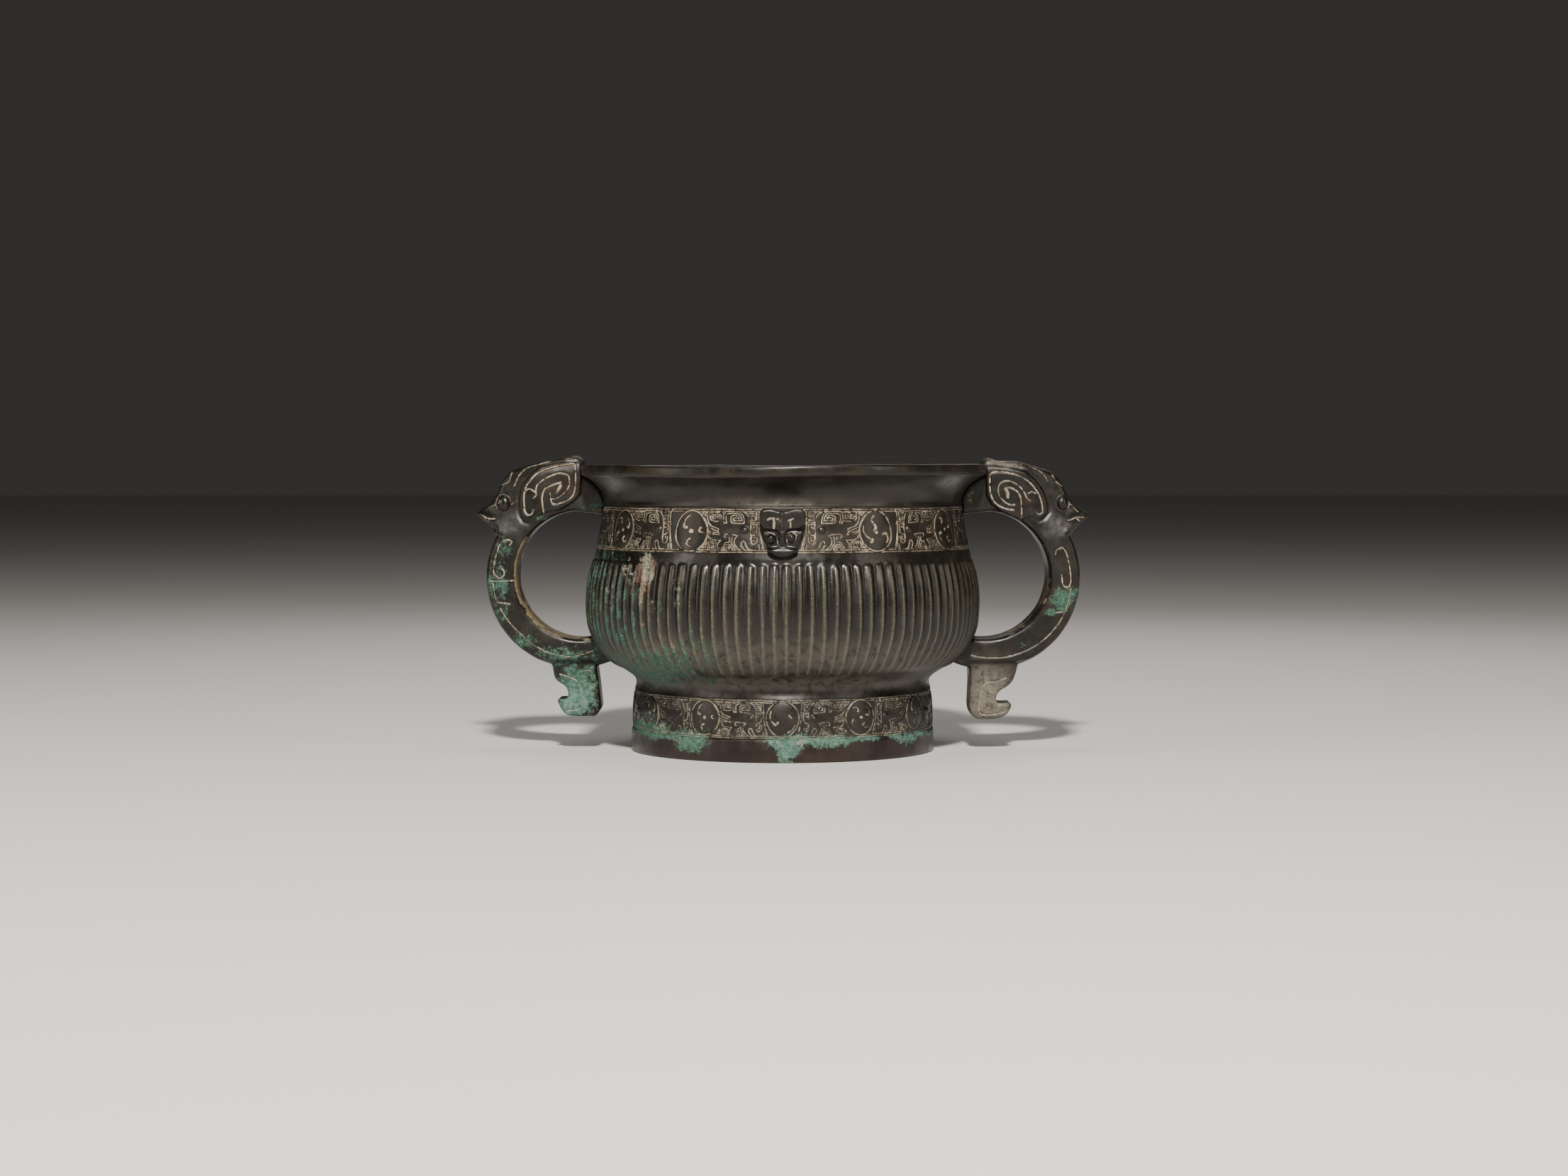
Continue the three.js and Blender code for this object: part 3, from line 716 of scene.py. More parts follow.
# the inside of the wall, height and radius
WALL_IN = np.array([(40.0, 74.0), (44.0, 80.0), (48.0, 84.5), (52.0, 88.6), (57.0, 91.6), (62.0, 93.4), (69.0, 94.8), (76.0, 95.2), (83.0, 94.9),
                    (90.0, 93.8), (97.0, 92.2), (104.0, 90.6), (111.0, 89.4), (117.0, 88.5), (123.0, 88.0), (126.5, 88.3), (129.0, 89.2),
                    (131.2, 90.6), (133.2, 92.4), (135.0, 94.6), (136.8, 96.6), (138.8, 98.4), (140.6, 99.6), (142.2, 100.0), (144.4, 100.3)])


def offset_in(pts, dist):
    p = np.asarray(pts, float)
    e = np.roll(p, -1, 0) - p
    e /= np.maximum(np.linalg.norm(e, axis=1, keepdims=True), 1e-9)
    n = np.stack([-e[:, 1], e[:, 0]], -1)           # left of travel: inside if counter-clockwise
    m = n + np.roll(n, 1, 0)
    m /= np.maximum(np.linalg.norm(m, axis=1, keepdims=True), 1e-9)
    return p + m * dist


def prism(pts, half, radius, layers=4):
    """Closed body from an outline in XZ (counter-clockwise), half(x, z) thick each way in Y, edges rounded."""
    p = np.asarray(pts, float)
    area = 0.5 * np.sum(p[:, 0] * np.roll(p[:, 1], -1) - np.roll(p[:, 0], -1) * p[:, 1])
    if area < 0:
        p = p[::-1]
    rings = []
    for side in (-1, 1):
        part = []
        for i in range(layers + 1):
            a = (math.pi / 2) * i / layers
            q = offset_in(p, radius * (1 - math.sin(a)))
            h = half(q[:, 0], q[:, 1])
            y = side * (h - radius * (1 - math.cos(a)))
            part.append(np.stack([q[:, 0], y, q[:, 1]], -1))
        rings.append(part)
    seq = rings[0] + rings[1][::-1]
    n = len(p)
    verts = np.vstack(seq)
    quads = []
    j = np.arange(n)
    k = (j + 1) % n
    for s in range(len(seq) - 1):
        quads.append(np.stack([s * n + j, s * n + k, (s + 1) * n + k, (s + 1) * n + j], -1))
    tris = []
    for s, flip in ((0, True), (len(seq) - 1, False)):
        flat = [Vector((float(a), float(b), 0.0)) for a, b in seq[s][:, [0, 2]]]
        t = np.array([tuple(tri) for tri in tessellate_polygon([flat])], np.int64)
        q = seq[s][:, [0, 2]]
        a, b, c = q[t[:, 0]], q[t[:, 1]], q[t[:, 2]]
        turn = (b[:, 0] - a[:, 0]) * (c[:, 1] - a[:, 1]) - (b[:, 1] - a[:, 1]) * (c[:, 0] - a[:, 0])
        t = np.where((turn > 0)[:, None] ^ flip, t, t[:, ::-1])
        tris.append(t + s * n)
    return verts, quads + tris


def tube(outer, inner, half, radius, layers=3):
    """A bent bar between two curves in XZ, half thick each way in Y, its long edges rounded."""
    o, i = np.asarray(outer, float), np.asarray(inner, float)
    d = i - o
    w = np.linalg.norm(d, axis=1)
    d = d / w[:, None]
    h = half(o[:, 0], o[:, 1])
    ring = []
    for k in range(4):
        for t in (math.pi + k * math.pi / 2 + np.linspace(0, math.pi / 2, layers + 1)):
            u = (w - radius if k in (1, 2) else radius) + radius * math.cos(t)
            y = np.where(k < 2, -1.0, 1.0) * (h - radius) + radius * math.sin(t)
            q = o + d * u[:, None] if np.ndim(u) else o + d * u
            ring.append(np.stack([q[:, 0], y, q[:, 1]], -1))
    g = np.stack(ring, 1)                         # along, around, xyz
    rows, cols = g.shape[:2]
    verts = g.reshape(-1, 3)
    j = np.arange(cols)
    return verts, [grid_faces(rows, cols, True), j[::-1][None, :], ((rows - 1) * cols + j)[None, :]]


def ball(centre, radii, segs=20, rings=12):
    t = np.linspace(0, 2 * math.pi, segs, endpoint=False)
    v = np.linspace(-math.pi / 2, math.pi / 2, rings)[1:-1]
    T, V = np.meshgrid(t, v)
    g = np.stack([np.cos(V) * np.cos(T), np.cos(V) * np.sin(T), np.sin(V)], -1).reshape(-1, 3)
    verts = np.vstack([g, [[0, 0, -1], [0, 0, 1]]]) * radii + centre
    m = len(g)
    j = np.arange(segs)
    k = (j + 1) % segs
    faces = [grid_faces(rings - 2, segs, True), np.stack([np.full(segs, m), k, j], -1),
             np.stack([m - segs + j, m - segs + k, np.full(segs, m + 1)], -1)]
    return verts, faces


def fuse(name, bodies, voxel, smoothing=2):
    """Several closed bodies become one skin of even quads."""
    verts, faces, n = [], [], 0
    for v, fs in bodies:
        verts.append(v)
        faces += [f + n for f in fs]
        n += len(v)
    ob = make_mesh(name + "_raw", np.vstack(verts), faces)
    rm = ob.modifiers.new("skin", "REMESH")
    rm.mode = "VOXEL"
    rm.voxel_size = voxel * MM
    rm.adaptivity = 0.0
    if smoothing:
        sm = ob.modifiers.new("soft", "SMOOTH")
        sm.factor = 0.5
        sm.iterations = smoothing
    dg = bpy.context.evaluated_depsgraph_get()
    me = bpy.data.meshes.new_from_object(ob.evaluated_get(dg), depsgraph=dg)
    old = ob.data
    bpy.data.objects.remove(ob)
    bpy.data.meshes.remove(old)
    co = np.empty(len(me.vertices) * 3, np.float32)
    me.vertices.foreach_get("co", co)
    nr = np.empty(len(me.vertices) * 3, np.float32)
    me.vertices.foreach_get("normal", nr)
    return me, co.reshape(-1, 3).astype(float) / MM, nr.reshape(-1, 3).astype(float)


def refine(me, co, near):
    """Split the facets whose corners are all marked, and return places and normals anew."""
    bm = bmesh.new()
    bm.from_mesh(me)
    bm.verts.ensure_lookup_table()
    for v, c in zip(bm.verts, co * MM):
        v.co = c
    edges = set()
    for f in bm.faces:
        if all(near[v.index] for v in f.verts):
            edges.update(f.edges)
    order = sorted(edges, key=lambda e: e.index)
    bmesh.ops.subdivide_edges(bm, edges=order, cuts=1, use_grid_fill=True)
    bmesh.ops.triangulate(bm, faces=[f for f in bm.faces if len(f.verts) > 4])
    bm.normal_update()
    bm.to_mesh(me)
    bm.free()
    me.update()
    out = np.empty(len(me.vertices) * 3, np.float32)
    me.vertices.foreach_get("co", out)
    nr = np.empty(len(me.vertices) * 3, np.float32)
    me.vertices.foreach_get("normal", nr)
    return me, out.reshape(-1, 3).astype(float) / MM, nr.reshape(-1, 3).astype(float)


def finish_skin(name, me, co, attrs):
    me.vertices.foreach_set("co", (co * MM).astype(np.float32).ravel())
    me.polygons.foreach_set("use_smooth", np.ones(len(me.polygons), bool))
    for key, val in attrs.items():
        layer = me.attributes.new(key, "FLOAT", "POINT")
        layer.data.foreach_set("value", np.asarray(val, np.float32))
    me.name = name
    me.update()
    ob = bpy.data.objects.new(name, me)
    bpy.context.scene.collection.objects.link(ob)
    return ob


def view_outline(text, per=5, closed=True):
    """An outline given in the view, as (x outwards, z) in mm on the handle's near face."""
    pts = []
    for x, y in poly(text):
        X, Z = on_plane(x, y, Y_FACE)
        pts.append((abs(X), Z))
    return pts


HEAD_TEXT = {
    "left": "822,650 818,646 811,642.5 800,644 780,648 760,652 745,656 732,660 722,664 712,672 707,680 703,688 699,697 692,708 684,713.5 677,718.3 "
            "671.2,724 675.5,729.5 681,734.5 690,740 695,746 695.5,753",
    "right": "1389,649 1392,646 1398,646 1407,650 1430,650 1443,652.5 1455,656 1475,662 1487,668 1495,675 1501,685 1506,696 1512,706 1519,713 1529,719 "
             "1537,725 1533,732.5 1526,738.5 1519,744 1513,751 1511,755",
}
PENDANT_TEXT = {
    "left": "777,937 779,948 780,955 784,961 790,965 796,969 800,978 799,984 796,987 790,986.5 785,988 785.5,992 788,998 793,1006 798,1010 806,1011.5 "
            "825,1012 838,1011.5 843,1006 847,999 846,985 843,960 841.5,938",
    "right": "1437,938 1435,948 1431,960 1424,968 1416,973 1410,978 1407,984 1406.5,990 1409,993 1418,993.5 1426,993 1428.5,996 1426,1003 1421,1010 "
             "1412,1014 1400,1016 1388,1016 1379,1015 1371,1009 1367.8,1000 1367.8,990 1369,960 1370,938",
}
# cream-filled lines, cut into both sides of each handle
HANDLE_LINES = {
    "left": [
        ("679,727 684,730.5 690,732 697,732", 1.6, 2.0), ("702,706 703.8,705.2 705.6,706.4 705.4,708.6 703.6,709.6 702,708.4 701.8,706.6", 0.7, 0.7), ("722,666 719,674 716,680 707,684", 1.6, 1.8),
        ("808,647 790,646.5 770,652 750,657 740,662 732,670 728,678 725,685", 2.0, 1.8),
        ("753,719 750,725.5 745,726 741,720 740,710 740,700 742,689 747,680 755,671 765,664.5 778,660 792,657 805,655 811,655.5 812,665 812,680 811,690 "
         "808,699 800,705.5 790,709.5 780,710 777,703 776,694", 2.8, 2.8),
        ("777,704 784,702.5 790,700 798,693 803,685 803.5,677 802,671 796,667 788,667.5 776,671.5 765,677.5 758,685 756.5,693 757,698 754,702", 2.6, 2.4),
        ("742,693 745,690 750,690 755,693", 1.6, 1.6),
        ("767,723 765.5,712 765,701 767,693 770,688.5 779,684 791,680", 3.4, 3.0), ("791,681 790.5,686 786.5,692", 5.0, 6.4),
        ("719,768 722,764 718,761 711,762 706,766 702,775 699,785 697,796 696,806 699,811.5 705,815 710,812 711,806 708,802", 2.0, 2.2),
        ("690,819 707,819.5 724,818", 1.0, 1.0),
        ("695,822 696.5,832 698,841 702,851 708,863 716,875 723,883 731,891 741,900 752,909 766,917 780,922 793,925 806,926 818,923.5 838,917", 1.6, 1.5),
        ("702,850 711,850 719,851.5", 1.5, 1.2),
        ("788,951 796,954 806,957.5 813,961.5 817,968 819,980 820,996 814,1001 803,1003.5 790,1002", 1.6, 1.6),
        ("820,947 834,946", 1.0, 1.0),
    ],
    "right": [
        ("1529,730 1523,729.5 1518,730.5 1512,733 1507,734", 1.6, 2.0), ("1519,731 1524,735", 1.4, 1.2), ("1515,716 1522,722", 1.2, 1.2),
        ("1484,666 1486.5,673 1490,679 1500,686", 1.6, 1.8),
        ("1407,650.5 1416,649.5 1425,649.5 1433,650.5 1441,653 1454,658 1466,663.5 1473,669.5 1478,677", 2.0, 1.8),
        ("1440,653.5 1441.5,657 1437,659 1431,657.5", 1.8, 1.6),
        ("1461,722 1464.5,725.5 1468.5,723 1470,717 1468,706 1464,696 1456,685 1447,676.5 1437,671 1425,667.5 1412,665.5 1400,666 1396.5,671 1396,681 "
         "1396.5,691 1398.5,700 1403,708 1410,713.5 1420,717 1430,718.5", 2.6, 2.6),
        ("1431,711 1424,711 1419,709 1413,703.5 1409,697 1408,690 1409.5,683.5 1414,679 1421,677.5 1431,681 1440,688 1445,695 1448,702 1452,705.5", 2.4, 2.4),
        ("1449,695.5 1454.5,693 1460,696", 1.6, 1.6), ("1441,730 1441,720 1440.5,709 1439,700 1435,693.5 1429,689 1421,686", 2.6, 3.0),
        ("1418.5,689.5 1421.5,694 1421.5,700", 7.0, 6.5),
        ("1489,781 1491,775.5 1498,772 1503.5,778 1507.5,791 1510,806 1511,819 1508.5,826.5 1503,827.5 1499.5,823.5 1498.5,816 1498,810", 2.2, 2.6),
        ("1511,830 1508,846 1503.5,861 1496,876 1487,888 1479,897 1469,905 1456,913.5 1440,920.5 1421,926 1401,928 1385,927 1370,924", 1.8, 1.8),
        ("1503,862 1494,863 1486,864", 1.6, 1.4),
        ("1421,957 1412,960 1404,962.5 1395,963 1389.5,967 1386,977 1383.5,989 1382,1001 1385,1008 1393,1009.5 1402,1009 1419,1005", 1.8, 1.8),
    ],
}
EYES = {"left": (709.5, 710.0, 9.4, 11.2), "right": (1500.0, 709.0, 8.4, 10.2)}
PANEL = {
    "left": "763,658 750,667 741,677 734,689 732,700 732,714 734,727 739,735 746,737 755,733 762,727 772,723 790,719.5 801,714 812,706 820,697 821,675 821,652 800,651 780,654",
    "right": "1446,664 1458,674 1468,685 1475,698 1479,712 1479,722 1473,730 1466,733 1456,729 1447,731 1440,735 1426,728 1413,722 1398,712 1391,700 1390,680 1390,656 1402,656 1425,659",
}


def inside_poly(px, py, text):
    pts = np.array(poly(text))
    hit = np.zeros(len(px), bool)
    for (x0, y0), (x1, y1) in zip(pts, np.roll(pts, -1, 0)):
        cond = ((y0 > py) != (y1 > py))
        with np.errstate(divide="ignore", invalid="ignore"):
            xi = (x1 - x0) * (py - y0) / ((y1 - y0) if y1 != y0 else 1e-9) + x0
        hit ^= cond & (px < xi)
    return hit


def handle_piece(side):
    sx = -1 if side == "left" else 1
    cxo, czo, Ro = 104.2, 87.6, (45.8 if side == "left" else 46.5)
    cxi, czi, Ri = 102.4, 89.2, 32.3
    # the strap of the loop, ending in the belly's wall below and in the head above
    arc = [(cxo + Ro * math.cos(t), czo + Ro * math.sin(t)) for t in np.radians(np.linspace(-113, 84, 130))]
    inner = [(cxi + Ri * math.cos(t), czi + Ri * math.sin(t)) for t in np.radians(np.linspace(-103, 84, 130))]

    def flat(x, z):
        return 13.0 + 0 * x

    def half(x, z):
        """Half the thickness front to back: strap, head that narrows to the beak, thinner pendant."""
        head = 13.2 - 3.4 * smooth(122, 140, x) - 4.2 * smooth(136, 155, x)
        head = head * (0.88 + 0.12 * smooth(149.5, 141.0, z + 0.12 * (x - 104)))
        strap = 14.0 - 0.6 * smooth(100, 118, z)
        w = smooth(108, 124, z)
        t = strap * (1 - w) + head * w
        low = smooth(47.0, 43.6, z)
        return t * (1 - low) + 10.8 * low

    # head with its stub to the neck
    crest = view_outline(HEAD_TEXT[side])
    crest = [tuple(p) for p in curve_through(crest, 3)]
    chin = crest[-1]
    belly = [(cxi + (Ri + 1.2) * math.cos(t), czi + (Ri + 1.2) * math.sin(t)) for t in np.radians(np.linspace(34, 72, 18))]
    stub = [(110.5, 121.9), (104.0, 121.3), (97.0, 120.4), (90.0, 119.9), (89.6, 124.0), (89.6, 128.0), (90.6, 130.6), (92.6, 133.2), (95.4, 136.4),
            (98.6, 138.8), (100.9, 139.6), (101.2, 142.0)]
    outline = [(101.2, 146.2)] + crest[1:] + [(cxi + (Ri + 9) * math.cos(math.radians(26)), czi + (Ri + 9) * math.sin(math.radians(26)))] + belly + stub
    outline = np.array(outline)

    hang = np.array(curve_through(view_outline(PENDANT_TEXT[side])[:-1], 2))
    hang = np.vstack([hang, [(94.6, 45.0), (100, 47.5), (112, 47.5)]])

    bodies = [tube(arc, inner, flat, 2.6), prism(outline, flat, 2.4), prism(hang, flat, 1.8)]
    ex, ey, erx, ery = EYES[side]
    X, Z = on_plane(ex, ey, Y_FACE + 3)
    for s in (-1, 1):
        bodies.append(ball((abs(X), s * 12.6, Z), (erx / 2.79, 3.6, ery / 2.79)))
    fixed = []
    for v, fs in bodies:
        v = v.copy()
        v[:, 0] *= sx
        if sx < 0:
            fs = [f[:, ::-1] for f in fs]
        fixed.append((v, fs))
    me, co, nr = fuse("handle_" + side, fixed, 0.64, 3)
    co[:, 1] *= half(np.abs(co[:, 0]), co[:, 2]) / 13.0

    # finer facets under the cut lines
    strokes = [(curve_through(poly(t), 3) if len(poly(t)) > 2 else poly(t), 0.66 * w0, 0.66 * w1) for t, w0, w1 in HANDLE_LINES[side]]
    px = PX0 + FOCAL * co[:, 0] / (DIST + Y_FACE)
    py = PY0 + FOCAL * (EYE_Z - co[:, 2]) / (DIST + Y_FACE)
    near = (stroke_distance(strokes, px, py) < 3.2) & (np.abs(nr[:, 1]) > 0.35)
    me, co, nr = refine(me, co, near)

    # carve both faces; the near face is read straight from the view
    px = PX0 + FOCAL * co[:, 0] / (DIST + Y_FACE)
    py = PY0 + FOCAL * (EYE_Z - co[:, 2]) / (DIST + Y_FACE)
    face = smooth(0.45, 0.8, np.abs(nr[:, 1]))
    d = stroke_distance(strokes, px, py)
    cut = (1.0 - smooth(-0.5, 0.8, d)) * face
    ring = [([(ex + (erx + 0.9) * math.cos(t), ey + (ery + 0.7) * math.sin(t)) for t in np.linspace(0, 2 * math.pi, 40)], 0.7, 0.7)]
    tail = [([(ex + sx * (-1) * (erx + 1), ey + 2), (ex - sx * (erx + 9), ey - 3)], 1.3, 0.5),
            ([(ex + sx * (erx + 1), ey + 2), (ex + sx * (erx + 8), ey + 5)], 1.2, 0.5)]
    dr = stroke_distance(ring + tail, px, py)
    eye_cut = (1.0 - smooth(-0.7, 0.9, dr)) * smooth(0.2, 0.6, np.abs(nr[:, 1]))
    panel = inside_poly(px, py, PANEL[side]).astype(float)
    # soft edge for the raised panel
    edge = stroke_distance([(poly(PANEL[side]) + [poly(PANEL[side])[0]], 0.0, 0.0)], px, py)
    raised = np.where(panel > 0, smooth(0.0, 2.6, edge), 0.0) * face
    skirt = np.where(panel > 0, 0.0, (1 - smooth(0.0, 6.0, edge))) * face * smooth(122, 132, np.abs(co[:, 0])) * smooth(752, 738, py)
    # cheek and brow swell round the eye, above the loop only
    ce = ((px - ex) / 20.0) ** 2 + ((py - ey - 6) / 24.0) ** 2
    cheek = np.exp(-ce) * smooth(752, 738, py) * face
    move = 1.25 * raised - 0.45 * skirt - 0.5 * cut - 0.4 * eye_cut + 0.9 * cheek
    co = co + nr * move[:, None]
    co = co + nr * (0.9 * cast_skin(co) + 0.10 * fbm(co, 5.0, 2, 21))[:, None]
    # nothing reaches through the wall
    rad = np.hypot(co[:, 0], co[:, 1])
    floor = np.interp(co[:, 2], WALL_IN[:, 0], WALL_IN[:, 1]) + 1.3
    deep = (rad < floor) & (co[:, 2] > 40.0) & (co[:, 2] < 144.3)
    scale = np.where(deep, floor / np.maximum(rad, 1e-6), 1.0)
    co[:, 0] *= scale
    co[:, 1] *= scale

    paint = patina(co, nr, HANDLE_PATCHES[side], 0.22 if side == "left" else 0.02)
    # fired clay and earth on the inside of the loop
    rx, rz = np.abs(co[:, 0]) - cxi, co[:, 2] - czi
    rr = np.hypot(rx, rz)
    gapface = smooth(0.25, 0.7, -(nr[:, 0] * sx * rx + nr[:, 2] * rz) / np.maximum(rr, 1e-6)) * smooth(Ri + 3.5, Ri + 1.2, rr)
    clay = gapface * (0.70 + 0.6 * fbm(co, 9.0, 3, 33)) * (0.25 + 0.75 * smooth(122, 104, co[:, 2]))
    paint["tan"] = np.maximum(paint["tan"], clay * (0.9 if side == "left" else 0.55))
    wear = np.clip(raised * 0.0 + smooth(0.25, 0.6, 1 - np.abs(nr[:, 1])) * smooth(0.25, 0.6, np.abs(nr[:, 1])), 0, 1)
    fill = 0.80 + 0.45 * fbm(co, 10.0, 3, 43)
    attrs = dict(paint)
    attrs["groove"] = np.clip(np.maximum(cut, eye_cut * 0.85) * fill, 0, 1)
    attrs["wear"] = 0.35 * wear
    return finish_skin("handle_" + side, me, co, attrs)


# ------------------------------------------------------------------ masks
MASK_LINES = [
    ("1083,732.5 1087,730.5 1092,731 1099,731.5 1101.5,736", 1.9, 1.2), ("1091.5,731 1092,738 1091.5,745", 3.0, 3.2),
    ("1112,734 1116,732.5 1120,731", 1.6, 1.0), ("1116,733 1115.6,738 1115.2,744", 2.4, 2.2),
    ("1103.8,724 1103.6,745", 0.3, 0.3),
    ("1077.5,751 1081,752.4 1084,754", 0.8, 0.6),
    ("1087.5,751.5 1092,753 1095.5,757.5 1096.8,763 1097.6,768 1100,771.5", 1.0, 0.8),
    ("1110.6,768.5 1110,762 1111.4,756 1115.6,752.4 1120.6,752 1124,754.8 1123.6,759.8 1120.4,764.2 1116,766 1112.4,764.6", 1.1, 0.9),
    ("1123,755 1127,752 1129.5,750.5", 0.9, 0.5),
]


def mask_piece(name, turn):
    yf = -99.5

    def at(x, y):
        return on_plane(x, y, yf)

    def outline(text):
        return np.array(curve_through([at(x, y) for x, y in poly(text)], 4, closed=True))

    def block(text, front, radius):
        """A block whose front is at y = -front and that roots in the wall."""
        v, fs = prism(outline(text), lambda x, z: 6.0 + 0 * x, radius)
        v = v.copy()
        v[:, 1] += -(front - 6.0)
        return v, fs

    lobe_l = "1103.5,723 1097,719.5 1088,717.2 1079,717.6 1073,720 1071,727 1072,735 1075,742 1079,747 1090,747.6 1103.5,747.6"
    lobe_r = "1103.5,723 1110,720 1118,717.6 1127,717 1133,719 1137,725 1136.6,734 1133.5,741 1128,745.4 1118,746.8 1103.5,747.6"
    face = "1077,748.5 1104,747.5 1132,748 1131,757 1128,767 1126.5,775 1123,781 1113,784 1104,785 1093,784 1084,780.5 1082,773 1080.5,763"
    bridge = "1096,748.5 1111,748.5 1108.4,754 1108,762 1109.5,771 1098,771 1099.4,762 1099,754"
    snout = "1083,773 1093,770.5 1104,770 1115,770.5 1125,773 1125.5,779 1118,785 1104,788.6 1091,785.5 1083.5,780"
    bodies = [block(lobe_l, 99.2, 1.5), block(lobe_r, 99.2, 1.5), block(face, 97.6, 1.8), block(bridge, 98.8, 1.8), block(snout, 99.2, 3.0)]
    for (ex, ey) in ((1087.5, 760.5), (1116.5, 759.0)):
        X, Z = at(ex, ey)
        bodies.append(ball((X, -97.7, Z), (2.15, 2.2, 2.45)))
    me, co, nr = fuse(name, bodies, 0.42, 3)
    px = PX0 + FOCAL * co[:, 0] / (DIST + yf)
    py = PY0 + FOCAL * (EYE_Z - co[:, 2]) / (DIST + yf)
    facing = smooth(0.3, 0.7, -nr[:, 1])
    d = stroke_distance([(poly(t), a, b) for t, a, b in MASK_LINES], px, py)
    cut = (1 - smooth(-0.7, 0.8, d)) * facing
    co = co + nr * (-0.4 * cut)[:, None]
    # roots stay in the wall
    rad = np.hypot(co[:, 0], co[:, 1])
    floor = r_outer(co[:, 2]) - 1.8
    scale = np.where(rad < floor, floor / np.maximum(rad, 1e-6), 1.0)
    co[:, 0] *= scale
    co[:, 1] *= scale
    groove = cut * np.clip(0.95 + 0.3 * fbm(co, 5.0, 2, 12), 0, 1)
    paint = patina(co, nr)
    if turn:
        co[:, :2] *= -1.0
        groove = groove * 0.7
    attrs = dict(paint)
    attrs["groove"] = groove
    attrs["wear"] = 0.25 * smooth(0.5, 0.8, np.abs(nr[:, 0]))
    ob = finish_skin(name, me, co, attrs)
    return ob


# ------------------------------------------------------------------ material
class Nodes:
    def __init__(self, mat):
        mat.use_nodes = True
        self.t = mat.node_tree
        self.t.nodes.clear()
        self.coord = self.t.nodes.new("ShaderNodeTexCoord").outputs["Object"]

    def link(self, a, b):
        self.t.links.new(a, b)

    def put(self, sock, v):
        if hasattr(v, "is_linked"):
            self.link(v, sock)
        elif isinstance(v, (tuple, list)):
            sock.default_value = (*v, 1.0) if len(v) == 3 and sock.type == "RGBA" else v
        else:
            sock.default_value = v

    def noise(self, scale, detail=3.0, rough=0.55, seed=0.0, stretch=None):
        n = self.t.nodes.new("ShaderNodeTexNoise")
        n.inputs["Scale"].default_value = scale
        n.inputs["Detail"].default_value = detail
        n.inputs["Roughness"].default_value = rough
        m = self.t.nodes.new("ShaderNodeMapping")
        m.inputs["Location"].default_value = (seed * 1.37, seed * 0.73, seed * 2.11)
        if stretch:
            m.inputs["Scale"].default_value = stretch
        self.link(self.coord, m.inputs["Vector"])
        self.link(m.outputs["Vector"], n.inputs["Vector"])
        return n.outputs["Fac"]

    def cells(self, scale, seed=0.0):
        n = self.t.nodes.new("ShaderNodeTexVoronoi")
        n.inputs["Scale"].default_value = scale
        m = self.t.nodes.new("ShaderNodeMapping")
        m.inputs["Location"].default_value = (seed, seed * 0.31, seed * 1.7)
        self.link(self.coord, m.inputs["Vector"])
        self.link(m.outputs["Vector"], n.inputs["Vector"])
        return n.outputs["Distance"]

    def attr(self, name):
        n = self.t.nodes.new("ShaderNodeAttribute")
        n.attribute_type = "GEOMETRY"
        n.attribute_name = name
        return n.outputs["Fac"]

    def math(self, op, a, b=0.5, c=None, clamp=False):
        n = self.t.nodes.new("ShaderNodeMath")
        n.operation = op
        n.use_clamp = clamp
        self.put(n.inputs[0], a)
        self.put(n.inputs[1], b)
        if c is not None:
            self.put(n.inputs[2], c)
        return n.outputs[0]

    def step(self, v, lo, hi, out_lo=0.0, out_hi=1.0):
        n = self.t.nodes.new("ShaderNodeMapRange")
        n.interpolation_type = "SMOOTHSTEP"
        self.put(n.inputs["Value"], v)
        n.inputs["From Min"].default_value = lo
        n.inputs["From Max"].default_value = hi
        n.inputs["To Min"].default_value = out_lo
        n.inputs["To Max"].default_value = out_hi
        return n.outputs["Result"]

    def mix(self, fac, a, b):
        n = self.t.nodes.new("ShaderNodeMix")
        n.data_type = "RGBA"
        self.put(n.inputs["Factor"], fac)
        self.put(n.inputs[6], a)
        self.put(n.inputs[7], b)
        return n.outputs[2]

    def fade(self, fac, a, b):
        n = self.t.nodes.new("ShaderNodeMix")
        n.data_type = "FLOAT"
        self.put(n.inputs["Factor"], fac)
        self.put(n.inputs[2], a)
        self.put(n.inputs[3], b)
        return n.outputs[0]


